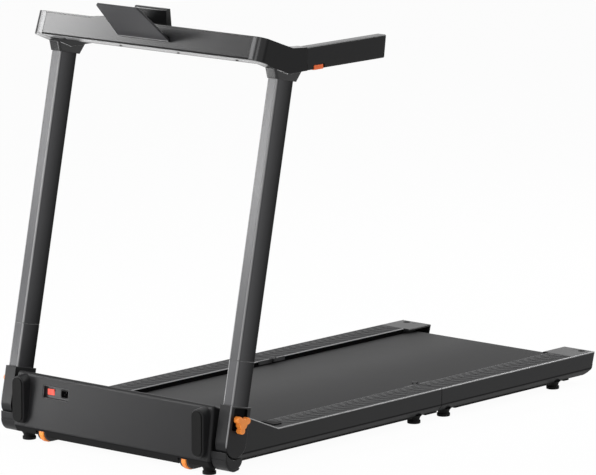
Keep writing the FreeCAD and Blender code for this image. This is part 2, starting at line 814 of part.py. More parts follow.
motor_shaft = node("motor_shaft")
flywheel_end = "(motor_right - flywheel_gap)"
flywheel_start = f"({flywheel_end} - flywheel_wide)"
revolve(motor_shaft, [
    ("motor_left - motor_r", "0"), ("motor_left - motor_r", "shaft_r"), (flywheel_end, "shaft_r"),
    (flywheel_end, "motor_r"), (flywheel_start, "motor_r"), (flywheel_start, "shaft_r"),
    (pulley_end, "shaft_r"), (pulley_end, "pulley_r"), ("pulley_x", "pulley_r"), ("pulley_x", "0")])
place(motor_shaft, "0", "motor_y", motor_z)

# the drive belt lies in a frame whose Y axis runs from the motor to the roller
span_y = "(front_roller_y - motor_y)"
span_z = f"({motor_z} - {roller_z})"
span = f"sqrt({span_y}^2 + {span_z}^2)"
spread = f"((roller_pulley_r - pulley_r) / {span})"
flat = f"sqrt(1 - {spread}^2)"


def drive_loop(extra):
    small, large = f"(pulley_r + {extra})", f"(roller_pulley_r + {extra})"
    return [
        (f"{span} - {large} * {spread}", f"-{large} * {flat}"), (f"{span} + {large}", "0", large),
        (f"{span} - {large} * {spread}", f"{large} * {flat}", large),
        (f"-{small} * {spread}", f"{small} * {flat}"),
        (f"-{small}", "0", small), (f"-{small} * {spread}", f"-{small} * {flat}", small)]


drive_belt = node("drive_belt")
extrude(drive_belt, "YZ", [drive_loop("soft_gap + belt_thick"), drive_loop("soft_gap")],
        "pulley_x + soft_gap", "pulley_wide - 2 * soft_gap")
place(drive_belt, "0", "motor_y", motor_z)
lean(drive_belt, f"atan({span_z} / {span_y})", -1)

control_box = node("control_box")
box_front = f"({front_tube_rear} - box_deep)"
box_top = f"({front_tube_top} + box_high)"
extrude(control_box, "YZ", box(box_front, front_tube_top, front_tube_rear, box_top),
        "box_right", "box_left - box_right")
fin_slot = box("box_right + fin_pitch / 2", f"{box_top} - box_high / 2", "box_right + fin_pitch", box_top)
cut(control_box, "XZ", fin_slot, box_front, "box_deep")
fins = control_box.newObject("PartDesign::LinearPattern", "fins")
fins.Originals = [control_box.Tip]
fins.Direction = (next(item for item in control_box.Origin.OriginFeatures if item.Role == "X_Axis"), [""])
fins.setExpression("Length", sized("fin_pitch * (fin_count - 1)"))
fins.setExpression("Occurrences", sized("fin_count"))
control_box.Tip = fins
doc.recompute()

# Pan under the hood, with open corners for the transport wheels
pan = node("belly_pan")
fork_half = "(wheel_wide / 2 + fork_gap + fork_thick)"
pan_step = "hood_side_rear - fit_gap"
pan_waist = "flange_in - fit_gap"
extrude(pan, "XY", [
    ("-pan_half", "pan_front"), ("pan_half", "pan_front"), ("pan_half", pan_step), (pan_waist, pan_step),
    (pan_waist, "pan_rear"), (f"-({pan_waist})", "pan_rear"), (f"-({pan_waist})", pan_step),
    ("-pan_half", pan_step)], "rail_low", "cover_wall")
notch_half = f"({fork_half} + fork_gap)"
for middle in ("wheel_x", "-wheel_x"):
    notch = box(f"{middle} - {notch_half}", "pan_front",
                f"{middle} + {notch_half}", "front_tube_y + fork_gap")
    cut(pan, "XY", notch, "rail_low", "cover_wall")


# Transport wheels in forks bolted to the front cross tube
fork = new_body("fork")
fork_round = "(wheel_z - fork_low)"
fork_plate = [
    ("front_tube_y", "fork_low"), ("front_tube_y", "fork_high"), (f"wheel_y - {fork_round}", "fork_high"),
    (f"wheel_y - {fork_round}", "wheel_z"), ("wheel_y", "fork_low", fork_round)]
extrude(fork, "YZ", box("front_tube_y - fork_thick", "fork_low", "front_tube_y", "fork_high"),
        f"wheel_x - {fork_half}", f"2 * {fork_half}")
for start in (f"wheel_x - {fork_half}", f"wheel_x + {fork_half} - fork_thick"):
    extrude(fork, "YZ", fork_plate, start, "fork_thick")
extrude(fork, "YZ", circle("wheel_y", "wheel_z", "wheel_pin_r"),
        f"wheel_x - {fork_half}", f"2 * {fork_half}")
group("wheel_forks", [fork, mirrored(fork, "fork_right")])

wheel = node("wheel_left")
side = "(wheel_wide / 2)"
web = f"({side} - wheel_dish)"
hub = "(wheel_pin_r + wheel_edge)"
revolve(wheel, [
    (side, "wheel_r - wheel_edge"), (f"{side} - wheel_edge", "wheel_r", "wheel_edge"),
    (f"wheel_edge - {side}", "wheel_r"), (f"-{side}", "wheel_r - wheel_edge", "wheel_edge"),
    (f"-{side}", "wheel_r - wheel_tyre"), (f"-{web}", "wheel_r - wheel_tyre - wheel_dish"),
    (f"-{web}", f"{hub} + wheel_dish"), (f"-{side}", hub), (f"-{side}", "wheel_pin_r + run_fit"),
    (side, "wheel_pin_r + run_fit"), (side, hub), (web, f"{hub} + wheel_dish"),
    (web, "wheel_r - wheel_tyre - wheel_dish"), (side, "wheel_r - wheel_tyre")])
place(wheel, "wheel_x", "wheel_y", "wheel_z")
mirrored_node(wheel, "wheel_right")

# Motor hood: one moulding with a raked front, a sloping top and two bosses that carry the storage pads
hood = node("motor_hood")
extrude(hood, "YZ", [
    ("hood_toe_y", "rail_low"), ("hood_rear", "rail_low"), ("hood_rear", "rail_top"),
    ("slope_foot_y", "rail_top"), ("rim_y", "rim_z"), ("brow_y", "brow_z")], "-rail_half", "2 * rail_half")
round_along(hood, "rim_round", "X", ("rim_y", "rim_z"), ("brow_y", "brow_z"))
round_along(hood, "foot_round", "X", ("slope_foot_y", "rail_top"))


def side_outline(edge):
    bounds = edge.BoundBox
    outside = abs(abs(bounds.Center.x) - value("rail_half")) < near and bounds.XLength < near
    before_rear = bounds.YMin < value("hood_rear") - near
    return outside and before_rear and bounds.ZMax > value("rail_low") + near


round_edges(hood, "side_round", side_outline)
for start in (hood_side_in, f"-{hood_side_in} - hood_wall"):
    cut(hood, "XZ", box(start, "rail_low - hood_wall", f"{start} + hood_wall", "rim_z + hood_wall"),
        "hood_side_rear", "hood_rear - hood_side_rear + hood_wall")
cut(hood, "YZ", [
    ("hood_toe_y + hood_wall", "rail_low - hood_wall"), ("hood_rear + hood_wall", "rail_low - hood_wall"),
    ("hood_rear + hood_wall", rail_crown), ("slope_foot_y - hood_wall / 4", rail_crown),
    ("rim_y + hood_wall", f"rim_z - hood_wall * (1 + {slope})"), ("brow_y + hood_wall", "brow_z")],
    f"-{hood_side_in}", f"2 * {hood_side_in}")
for middle in ("boss_x", "-boss_x"):
    extrude(hood, "XZ", stadium(middle, "boss_z", "boss_wide", "boss_high"), "pad_face + pad_thick",
            "rim_y - pad_face - pad_thick", draft="boss_draft")
    round_edges(hood, "pad_thick", on_plane("Y", "pad_face + pad_thick", middle))
for middle in ("wheel_x", "-wheel_x"):
    notch = box(f"{middle} - {notch_half}", "rail_low - hood_wall", f"{middle} + {notch_half}", "notch_top")
    cut(hood, "XZ", notch, "pad_face", "pan_front - pad_face + hood_wall")
recess = rounded("recess_x", "recess_z", "recess_wide", "recess_high", "recess_corner")
cut(hood, "XZ", recess, "brow_y", "rim_y - brow_y + hood_wall")
cut(hood, "YZ", circle("pivot_y", "pivot_z", "pivot_r + fit_gap"), "-rail_half", "2 * rail_half")

storage_pad = new_body("storage_pad")
extrude(storage_pad, "XZ", stadium("boss_x", "boss_z", "pad_wide", "pad_high"), "pad_face", "pad_thick")
round_edges(storage_pad, "pad_thick / 3", on_plane("Y", "pad_face"))

# rest pads at the front ends of the tread strips, where the folded rear half comes to lie
rest_pad = new_body("rest_pad")
rest_start, rest_stop = "rest_x - rest_long / 2", "rest_x + rest_long / 2"
extrude(rest_pad, "XY", [
    (rest_stop, "rest_y - rest_broad / 2"), (rest_stop, "rest_y + rest_broad / 2"),
    (rest_start, "rest_y + rest_narrow / 2"), (rest_start, "rest_y - rest_narrow / 2")],
    "rail_top", "pad_thick")
round_edges(rest_pad, "rest_corner", lambda edge: edge.BoundBox.ZLength > value("pad_thick") / 2)
round_edges(rest_pad, "pad_thick / 3", on_plane("Z", "rail_top + pad_thick"))
group("storage_pads", [storage_pad, mirrored(storage_pad, "storage_pad_right"),
                       rest_pad, mirrored(rest_pad, "rest_pad_right")])


# Switch tray: follows the rake of the hood's front
def on_front(height, inward):
    return f"(brow_y + (({height}) - brow_z) * (rim_y - brow_y) / (rim_z - brow_z) + {inward})"


tray_low = "(recess_z - recess_high / 2 + fit_gap)"
tray_top = "(recess_z + recess_high / 2 - fit_gap)"
tray_right = "(recess_x - recess_wide / 2 + fit_gap)"
tray_left = "(recess_x + recess_wide / 2 - fit_gap)"


def tray_section(front, back, low, top):
    return [(on_front(low, front), low), (on_front(low, back), low),
            (on_front(top, back), top), (on_front(top, front), top)]


tray = node("switch_tray")
extrude(tray, "YZ", tray_section("tray_set", "recess_deep + tray_wall", tray_low, tray_top),
        tray_right, f"{tray_left} - {tray_right}")
round_along(tray, "recess_corner", "Y", (tray_right, tray_low), (tray_right, tray_top),
            (tray_left, tray_low), (tray_left, tray_top))
tray_mouth = tray_section("-recess_deep", "recess_deep",
                          f"({tray_low} + tray_wall)", f"({tray_top} - tray_wall)")
cut(tray, "YZ", tray_mouth, f"{tray_right} + tray_wall", f"{tray_left} - {tray_right} - 2 * tray_wall")
tray_face = on_front("recess_z", "recess_deep")
rocker_hole = box("switch_x - switch_wide / 2", "recess_z - switch_high / 2",
                  "switch_x + switch_wide / 2", "recess_z + switch_high / 2")
inlet_outline = rounded("inlet_x", "recess_z", "inlet_wide", "inlet_high", "inlet_wall")
cut(tray, "XZ", rocker_hole, f"{tray_face} - recess_deep / 2", "recess_deep")
cut(tray, "XZ", inlet_outline, f"{tray_face} - recess_deep / 2", "recess_deep")

# rocker: a see-saw about an upright axis, one half pressed in
rocker = node("rocker_switch")
rocker_r = "(switch_wide / 2 - rocker_gap)"
extrude(rocker, "XY", [
    (rocker_r, "0"), ("0", rocker_r, rocker_r), (f"-{rocker_r}", "0", rocker_r),
    (f"-sqrt({rocker_r}^2 - rocker_out^2)", "-rocker_out"), ("0", "-rocker_mid"),
    (f"sqrt({rocker_r}^2 - rocker_in^2)", "-rocker_in")],
    "rocker_gap - switch_high / 2", "switch_high - 2 * rocker_gap")
place(rocker, "switch_x", f"{tray_face} + rocker_set", "recess_z")

inlet = node("power_inlet")
inlet_front = f"({tray_face} - inlet_wall)"
extrude(inlet, "XZ", inlet_outline, inlet_front, "inlet_deep")
inlet_mouth = rounded("inlet_x", "recess_z", "inlet_wide - 2 * inlet_wall",
                      "inlet_high - 2 * inlet_wall", "inlet_wall")
cut(inlet, "XZ", inlet_mouth, inlet_front, "inlet_deep - inlet_wall")
for x, z in (("0", "inlet_pin_z"), ("inlet_pin_x", "-inlet_pin_z"), ("-inlet_pin_x", "-inlet_pin_z")):
    pin = box(f"inlet_x + {x} - inlet_pin_wide / 2", f"recess_z + {z} - inlet_pin_high / 2",
              f"inlet_x + {x} + inlet_pin_wide / 2", f"recess_z + {z} + inlet_pin_high / 2")
    extrude(inlet, "XZ", pin, f"{inlet_front} + inlet_deep - inlet_wall - inlet_pin",
            "inlet_pin + inlet_wall / 2")


# Feet with a rubber pad and a flared neck
def foot(label, y):
    turned = new_body(label)
    revolve(turned, [
        ("0", "0"), ("foot_r - foot_edge", "0"), ("foot_r", "foot_edge", "foot_edge"),
        ("foot_r", "foot_pad"), ("foot_waist", "foot_pad + foot_edge"),
        ("foot_flare", "rail_low", "foot_bell", -1), ("0", "rail_low")], "V_Axis")
    place(turned, "foot_x", y, "0")
    return turned


for label, rows in (("front_feet", ("foot_one", "foot_two")), ("rear_feet", ("foot_three", "foot_four"))):
    feet = []
    for number, y in enumerate(rows):
        one = foot(f"{label}_{number}", y)
        feet.append(one)
        feet.append(mirrored(one, f"{label}_{number}_right"))
    group(label, feet)

# Rear end caps over the rear roller's ends
cap = node("rear_end_cap_left")
cap_out = f"({cover_in} - fit_gap)"
extrude(cap, "YZ", [
    ("cap_front", "rail_low"), (cap_toe, "rail_low"),
    ("deck_rear - cap_lean", "rail_low + cap_corner", "cap_corner"), ("deck_rear", "rail_top"),
    ("cap_front", "rail_top")], "cap_in", f"{cap_out} - cap_in")
round_along(cap, "cap_wall / 2", "Y", ("cap_in", "rail_top"))
round_along(cap, "cap_wall / 2", "X", ("deck_rear", "rail_top"))
# under its top plate the cap is open up to the rails' ends, and its rear wall follows the rounded corner
cap_step = f"({rear_rail_end} + fit_gap)"
cap_bend = "(cap_corner - cap_wall)"
cut(cap, "YZ", [
    ("cap_front - cap_wall", "rail_low - cap_wall"), (cap_step, "rail_low - cap_wall"),
    (cap_step, f"rail_low + cap_corner - sqrt({cap_bend}^2 - ({cap_step} - {cap_toe})^2)"),
    ("deck_rear - cap_lean - cap_wall", "rail_low + cap_corner", cap_bend),
    ("deck_rear - cap_wall - cap_lean / 4", rail_crown), ("cap_front - cap_wall", rail_crown)],
    "cap_in - cap_wall", "rail_half")
cover_turn = "(rail_half - tuck - fit_gap)"
cut(cap, "XZ", [
    (cover_turn, rail_base), (cover_turn, "rail_low - cap_wall"), ("rail_half", "rail_low - cap_wall"),
    ("rail_half", "crease + cover_wall"), (cap_out, "crease + cover_wall")], cap_toe, "cap_corner + cap_lean")
cut(cap, "XY", circle("screw_x", "screw_y", "screw_r"), "rail_top - cap_wall / 2", "cap_wall")
bolt_x = "(flange_in + rail_wide / 2)"
cut(cap, "XZ", circle(bolt_x, roller_z, "bolt_head_r + fork_gap"), "deck_rear - cap_corner", "cap_corner")
mirrored_node(cap, "rear_end_cap_right")

bolt = new_body("tension_bolt")
bolt_tip = "(rear_roller_y + axle_r + fit_gap)"
extrude(bolt, "XZ", circle(bolt_x, roller_z, "bolt_r"), bolt_tip, f"{rear_rail_end} - {bolt_tip}")
hexagon = []
for turn in range(0, 360, 60):
    hexagon.append((f"{bolt_x} + bolt_head_r * cos({turn})", f"{roller_z} + bolt_head_r * sin({turn})"))
extrude(bolt, "XZ", hexagon, rear_rail_end, "bolt_head")
group("tension_bolts", [bolt, mirrored(bolt, "tension_bolt_right")])

# Fold hinge: leaves on the strips' inner lips, knuckles above the belt's edge
leaf_low = "belt_top + lip_gap"
knuckle_out = f"({strip_in} - fit_gap)"
knuckle_mid = f"({knuckle_out} - knuckle_wide)"
knuckle_in = f"({knuckle_mid} - fit_gap - knuckle_wide)"
leaf_in = f"({strip_in} - leaf_thick)"
web_low = "rail_top - knuckle_r"
web_top = f"{fold_z} - seam / 4"
front_leaf = new_body("front_leaf")
front_plate = box(f"{front_end} - leaf_long", leaf_low, front_end, "rail_top")
extrude(front_leaf, "YZ", front_plate, leaf_in, "leaf_thick")
front_web = box("fold_y - 2 * knuckle_r", web_low, "fold_y", web_top)
extrude(front_leaf, "YZ", front_web, knuckle_mid, "knuckle_wide")
extrude(front_leaf, "YZ", circle("fold_y", fold_z, "knuckle_r"), knuckle_mid, "knuckle_wide")
extrude(front_leaf, "YZ", circle("fold_y", fold_z, "hinge_pin_r"),
        knuckle_in, f"{knuckle_out} - {knuckle_in}")
group("front_hinge_leaves", [front_leaf, mirrored(front_leaf, "front_leaf_right")])

rear_leaf = new_body("rear_leaf")
clear_y = "(fold_y + knuckle_r + fork_gap)"
rear_plate = box(clear_y, leaf_low, f"{rear_start} + leaf_long", "rail_top")
extrude(rear_leaf, "YZ", rear_plate, leaf_in, "leaf_thick")
bridge = box(clear_y, web_low, f"{clear_y} + knuckle_r", web_top)
extrude(rear_leaf, "YZ", bridge, knuckle_in, f"{leaf_in} + leaf_thick / 2 - {knuckle_in}")
rear_web = box("fold_y", web_low, f"{clear_y} + knuckle_r", web_top)
extrude(rear_leaf, "YZ", rear_web, knuckle_in, "knuckle_wide")
extrude(rear_leaf, "YZ", circle("fold_y", fold_z, "knuckle_r"), knuckle_in, "knuckle_wide")
cut(rear_leaf, "YZ", circle("fold_y", fold_z, "hinge_pin_r + run_fit"), knuckle_in, "knuckle_wide")
group("rear_hinge_leaves", [rear_leaf, mirrored(rear_leaf, "rear_leaf_right")])

# Base caps that cradle the uprights' round boots
base_cap = new_body("base_cap")
nest_r = "(boot_r + boot_gap)"
nest_z = f"(pivot_z - {nest_r})"
heel_r = f"({nest_z} - base_low)"
base_round = f"(boot_r + base_back - {heel_r} - base_flat)"
extrude(base_cap, "YZ", [
    ("pivot_y - boot_r", f"base_low + {base_round}"),
    (f"pivot_y - boot_r + {base_round}", "base_low", base_round),
    (f"pivot_y + base_back - {heel_r}", "base_low"),
    ("pivot_y + base_back", nest_z, heel_r), ("pivot_y", nest_z),
    ("pivot_y - boot_r", f"pivot_z - sqrt({nest_r}^2 - boot_r^2)", nest_r, -1)],
    "rail_half", "boot_out - rail_half")


def below_nest(edge):
    bounds = edge.BoundBox
    front = bounds.YMax < value("pivot_y - boot_r") + near
    return on_plane("X", "boot_out")(edge) and (front or bounds.ZMin < value(nest_z) - near)


round_edges(base_cap, "boot_edge", below_nest)
group("base_caps", [base_cap, mirrored(base_cap, "base_cap_right")])

# Pivot brackets on the nose tube, each with its pivot pin
bracket = new_body("pivot_bracket")
bracket_top = "pivot_z + bracket_rise"
bracket_front = "pivot_y - bracket_half"
extrude(bracket, "YZ", box(bracket_front, rail_base, front_tube_rear, bracket_top),
        bracket_in, "bracket_thick")
round_along(bracket, "bracket_half / 2", "X", (bracket_front, bracket_top), (front_tube_rear, bracket_top))
extrude(bracket, "YZ", circle("pivot_y", "pivot_z", "pivot_r"), bracket_in, f"pivot_end - {bracket_in}")
group("pivot_brackets", [bracket, mirrored(bracket, "pivot_bracket_right")])


# The upright and its fittings are drawn along its own axis, with the pivot at their origin
def on_upright(body, height="0"):
    place(body, "0", f"pivot_y + {height} * sin(rake)", f"pivot_z + {height} * cos(rake)")
    lean(body, "rake", -1)


boot = node("boot_left")
extrude(boot, "YZ", [
    ("0", "-boot_r", "boot_r"), ("boot_r", "0", "boot_r"), ("boot_r", "boot_top"), ("-boot_r", "boot_top"),
    ("-boot_r", "0")], "boot_in", "boot_out - boot_in")
round_edges(boot, "boot_edge", on_plane("X", "boot_out"))
hub_in = "(rail_half + hub_clear)"
extrude(boot, "YZ", circle("0", "0", "hub_r"), hub_in, f"boot_in - {hub_in}")
bore_wide = "upright_wide - 2 * tube_wall"
bore_deep = "upright_deep - 2 * tube_wall"
spigot = rounded("upright_x", "0", f"{bore_wide} - fit_gap", f"{bore_deep} - fit_gap", "upright_corner")
extrude(boot, "XY", spigot, "boot_top", "spigot_long")
window_middle = "(window_low + window_top) / 2"
window = rounded("0", window_middle, "2 * window_half", "window_top - window_low", "window_round")
cut(boot, "YZ", window, "boot_out - window_deep", "2 * window_deep")
cut(boot, "YZ", circle("0", "0", "pivot_r + run_fit"), hub_in, f"pivot_end + fork_gap - {hub_in}")
cut(boot, "YZ", circle("0", "knob_up", "knob_stem_r + run_fit"),
    "knob_stem_in - fork_gap", "boot_out - knob_stem_in")
on_upright(boot)
mirrored_node(boot, "boot_right")

upright_section = rounded("upright_x", "0", "upright_wide", "upright_deep", "upright_corner")
upright_bore = rounded("upright_x", "0", bore_wide, bore_deep, "upright_corner - tube_wall")
upright = node("upright_left")
extrude(upright, "XY", [upright_section, upright_bore], "boot_top", "upright_top - boot_top")
upright_seam = rounded("upright_x", "0", "upright_wide - 2 * split_deep", "upright_deep - 2 * split_deep",
                       "upright_corner - split_deep")
cut(upright, "XY", [upright_section, upright_seam], "split_up", "split_high")
on_upright(upright)
mirrored_node(upright, "upright_right")

# Lock knob with three lobes
knob = node("knob_left")
knob_back = "(knob_face - knob_thick)"
hub_back = "(boot_out - window_deep + lug_gap)"
extrude(knob, "YZ", circle("0", "0", "knob_stem_r"), "knob_stem_in", f"{hub_back} - knob_stem_in")
extrude(knob, "YZ", circle("0", "0", "knob_hub_r"), hub_back, f"{knob_back} - {hub_back}")
extrude(knob, "YZ", circle("0", "0", "knob_r"), knob_back, "knob_thick")
extrude(knob, "YZ", circle("0", "-lobe_out", "lobe_r"), knob_back, "knob_thick")
lobes = knob.newObject("PartDesign::PolarPattern", "lobes")
lobes.Originals = [knob.Tip]
lobes.Axis = (next(item for item in knob.Origin.OriginFeatures if item.Role == "X_Axis"), [""])
lobes.Angle = 360
lobes.Occurrences = 3
knob.Tip = lobes
doc.recompute()
round_edges(knob, "boot_edge", on_plane("X", "knob_face"))
on_upright(knob, "knob_up")
mirrored_node(knob, "knob_right")


# Console corners join the console, the upright and the arm
def on_console(along, up):
    return (f"(con_y + ({along}) * cos(con_tilt) + ({up}) * sin(con_tilt))",
            f"(con_z - ({along}) * sin(con_tilt) + ({up}) * cos(con_tilt))")


front_top = on_console("0", "0")
front_low = on_console("0", "-con_tall")
rear_low = on_console("con_deep", "-con_tall")
rear_top = on_console("con_deep", "0")
arm_low = f"({rear_low[1]} - arm_drop)"
arm_top = f"({arm_low} + arm_tall)"
arm_axis_x = "(arm_in - arm_axis_in)"
low_knuckle_top = f"({arm_low} + arm_knuckle_high)"
high_knuckle_low = f"({arm_top} - arm_knuckle_high)"
arm_axis = circle(arm_axis_x, "arm_seam", "arm_knuckle_r")
arm_clear = circle(arm_axis_x, "arm_seam", "(arm_knuckle_r + soft_gap)")

corner = node("corner_left")
corner_side = [front_low, (rear_low[0], arm_low), ("arm_seam", arm_low), ("arm_seam", arm_top), rear_top,
               front_top]
extrude(corner, "YZ", corner_side, "corner_in", "corner_out - corner_in")


def front_outer(edge):
    bounds = edge.BoundBox
    outside = abs(bounds.Center.x - value("corner_out")) < near and bounds.XLength < near
    return outside and bounds.YMax < value(front_top[0]) + near


round_edges(corner, "corner_round", front_outer)
cut(corner, "XY", arm_clear, low_knuckle_top, f"{high_knuckle_low} - {low_knuckle_top}")
extrude(corner, "XY", arm_axis, arm_low, "arm_knuckle_high")
extrude(corner, "XY", arm_axis, high_knuckle_low, "arm_knuckle_high")
extrude(corner, "XY", circle(arm_axis_x, "arm_seam", "arm_pin_r"), arm_low, "arm_tall")
mirrored_node(corner, "corner_right")

arm = node("arm_left")
extrude(arm, "XZ", box("arm_in", arm_low, "corner_out", arm_top),
        "arm_seam + arm_gap", "arm_end - arm_seam - arm_gap")
round_along(arm, "arm_round", "Y", ("arm_in", arm_low), ("arm_in", arm_top),
            ("corner_out", arm_low), ("corner_out", arm_top))
cut(arm, "YZ", [
    ("arm_end - arm_lean", f"{arm_low} - arm_gap"), ("arm_end + arm_gap", f"{arm_low} - arm_gap"),
    ("arm_end + arm_gap", arm_top), ("arm_end", arm_top)], "arm_in", "corner_out - arm_in")
latch_start = "(latch_y - latch_long / 2)"
latch_notch = box("corner_out - latch_deep", f"{arm_low} - latch_proud",
                  "corner_out + latch_proud", f"{arm_low} + latch_high")
cut(arm, "XZ", latch_notch, latch_start, "latch_long + latch_travel + 2 * fit_gap")
cut(arm, "XY", arm_clear, arm_low, "arm_knuckle_high + fit_gap")
cut(arm, "XY", arm_clear, f"{high_knuckle_low} - fit_gap", "arm_knuckle_high + fit_gap")
middle_high = f"{high_knuckle_low} - {low_knuckle_top} - 2 * fit_gap"
extrude(arm, "XY", arm_axis, f"{low_knuckle_top} + fit_gap", middle_high)
cut(arm, "XY", circle(arm_axis_x, "arm_seam", "(arm_pin_r + run_fit)"), arm_low, "arm_tall")
mirrored_node(arm, "arm_right")

latch = node("latch_left")
latch_low = f"{arm_low} - latch_proud"
latch_section = box("corner_out - latch_deep + fit_gap", latch_low,
                    "corner_out + latch_proud", f"{arm_low} + latch_high - fit_gap")
extrude(latch, "XZ", latch_section, f"{latch_start} + fit_gap", "latch_long")
round_along(latch, "latch_proud", "Y", ("corner_out + latch_proud", latch_low))
mirrored_node(latch, "latch_right")


def on_console_top(body):
    place(body, "0", "con_y", "con_z")
    lean(body, "con_tilt", -1)


# Console: a tray between the corners, with the flap's lugs and pin on its front, and a top panel
console = node("console_body")
extrude(console, "YZ", [
    ("0", "-con_tall"), ("con_keel", "-con_tall"), ("con_deep", "-con_wall - con_heel"),
    ("con_deep", "-con_wall"), ("0", "-con_wall")], "-corner_in", "2 * corner_in")
climb = "((con_tall - con_wall - con_heel) / (con_deep - con_keel))"
lift = f"(con_wall * sqrt(1 + {climb}^2))"
cut(console, "YZ", [
    ("con_wall", "con_wall - con_tall"), (f"con_keel - ({lift} - con_wall) / {climb}", "con_wall - con_tall"),
    ("con_deep - con_wall", f"{lift} - con_wall - con_heel - con_wall * {climb}"),
    ("con_deep - con_wall", "0"), ("con_wall", "0")], "con_wall - corner_in", "2 * (corner_in - con_wall)")
extrude(console, "XZ", [
    ("-hump_low", "-con_wall"), ("-hump_end", "-con_wall"), ("-hump_end", "0"), ("-hump_fall", "hump_rise"),
    ("-hump_top", "hump_rise"), ("-hump_low", "0")], "0", "hump_deep")
lug_inner = "(flap_barrel_half + lug_gap)"
for start in (lug_inner, f"-{lug_inner} - lug_wide"):
    extrude(console, "YZ", box("-flap_axis_out", "-flap_axis_down - flap_barrel_r", "con_wall / 2",
                               "-flap_axis_down + flap_barrel_r"), start, "lug_wide")
    extrude(console, "YZ", circle("-flap_axis_out", "-flap_axis_down", "flap_barrel_r"), start, "lug_wide")
extrude(console, "YZ", circle("-flap_axis_out", "-flap_axis_down", "flap_pin_r"),
        f"-{lug_inner} - lug_wide", f"2 * ({lug_inner} + lug_wide)")
on_console_top(console)

panel = node("console_panel")
extrude(panel, "YZ", box("0", "-con_wall", "con_deep", "0"), "-corner_in", "2 * corner_in")
hump_room = box("-hump_low - fit_gap", "-hump_deep", "fit_gap - hump_end", "hump_deep + fit_gap")
cut(panel, "XY", hump_room, "-con_wall", "con_wall")
for label, x in (("start_button", "start_x"), ("faster_button", "faster_x"), ("slower_button", "slower_x")):
    cut(panel, "XY", circle(x, "button_y", "(button_r + soft_gap)"), "-con_wall", "con_wall")
    button = node(label)
    extrude(button, "XY", circle(x, "button_y", "button_r"), "-button_skirt", "button_skirt + button_rise")
    round_edges(button, "button_rise / 2", on_plane("Z", "button_rise"))
    on_console_top(button)
on_console_top(panel)


def on_pod(body):
    place(body, "0", *on_console("pod_y", "0"))
    lean(body, "pod_tilt", -1)


# Display pod on the panel: upright back, flat top and a nearly upright face to the walker
pod = node("display_pod")
pod_heel = ("-pod_deep * cos(pod_tilt - con_tilt)", "-pod_deep * sin(pod_tilt - con_tilt)")
pod_back = (f"{pod_heel[0]} - pod_tall * sin(pod_tilt)", f"{pod_heel[1]} + pod_tall * cos(pod_tilt)")
extrude(pod, "YZ", [("0", "0"), ("-pod_len", "0"), pod_back, pod_heel], "-pod_half", "2 * pod_half")
round_along(pod, "pod_round", "X", pod_back)
lens_middle = "-(lens_low + lens_high) / 2"
lens_outline = rounded("0", lens_middle, "2 * lens_half", "lens_high - lens_low", "pod_round")
cut(pod, "XY", lens_outline, "-lens_thick", "lens_thick")
on_pod(pod)
lens = node("display_lens")
extrude(lens, "XY", lens_outline, "-lens_thick", "lens_thick")
on_pod(lens)

# Phone flap, leaning forward on its barrel
flap = node("phone_flap")
flap_set = "(flap_barrel_r + lug_gap)"
extrude(flap, "XZ", [
    ("-flap_low_half", "-flap_tail"), ("flap_low_half", "-flap_tail"), ("flap_top_half", "flap_long"),
    ("-flap_top_half", "flap_long")], f"-{flap_set} - flap_thick", "flap_thick")
round_along(flap, "flap_thick", "Y", ("-flap_low_half", "-flap_tail"), ("flap_low_half", "-flap_tail"),
            ("flap_top_half", "flap_long"), ("-flap_top_half", "flap_long"))
extrude(flap, "YZ", box(f"-{flap_set} - flap_thick / 2", "-flap_barrel_r", "0", "flap_barrel_r"),
        "-flap_barrel_half", "2 * flap_barrel_half")
extrude(flap, "YZ", circle("0", "0", "flap_barrel_r"), "-flap_barrel_half", "2 * flap_barrel_half")
cut(flap, "YZ", circle("0", "0", "flap_pin_r + run_fit"), "-flap_barrel_half", "2 * flap_barrel_half")
place(flap, "0", *on_console("-flap_axis_out", "-flap_axis_down"))
lean(flap, "90 - flap_rise", 1)

# Flared collars, trimmed to the corners that they carry
collar_blank = new_body("collar_blank")
collar_foot = rounded("upright_x", "(collar_tail - collar_lap) / 2", "collar_wide", "collar_deep",
                      "collar_round")
collar_head = rounded("upright_x", "collar_back", "collar_wide", "collar_flare", "collar_round")
loft = collar_blank.newObject("PartDesign::AdditiveLoft", "collar_loft")
loft.Profile = draw(collar_blank, "XY", [collar_foot], "collar_low")
loft.Sections = [draw(collar_blank, "XY", [collar_head], "collar_top")]
rebuild(loft)
cut(collar_blank, "XY", upright_section, "collar_low", "upright_top - collar_low")
on_upright(collar_blank)
collar = doc.addObject("Part::Cut", "collar")
collar.Base = collar_blank
collar.Tool = corner
group("top_collars", [collar, mirrored(collar, "collar_right")])

doc.recompute()
for item in doc.Objects:
    if "Invalid" in item.State or "Error" in item.State:
        raise RuntimeError(f"{item.Label} did not rebuild")
for item in nodes:
    if item.Shape.isNull() or not item.Shape.isValid():
        raise RuntimeError(f"{item.Label} is not a valid solid")
    item.Shape.exportStep(f"parts/{item.Label}.step")
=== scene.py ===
import json
import math

import bmesh
import bpy
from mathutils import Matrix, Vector


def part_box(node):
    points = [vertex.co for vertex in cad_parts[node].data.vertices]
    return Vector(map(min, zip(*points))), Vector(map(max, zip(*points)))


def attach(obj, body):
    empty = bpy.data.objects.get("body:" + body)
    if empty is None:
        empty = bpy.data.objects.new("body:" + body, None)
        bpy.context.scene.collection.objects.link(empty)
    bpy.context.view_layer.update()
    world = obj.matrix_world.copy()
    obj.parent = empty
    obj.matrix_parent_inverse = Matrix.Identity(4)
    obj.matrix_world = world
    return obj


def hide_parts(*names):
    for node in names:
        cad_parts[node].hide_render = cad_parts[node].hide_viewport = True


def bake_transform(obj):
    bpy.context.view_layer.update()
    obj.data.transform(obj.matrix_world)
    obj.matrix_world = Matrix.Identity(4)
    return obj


# Looks for the folding walking pad with a handrail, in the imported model's own frame, in metres

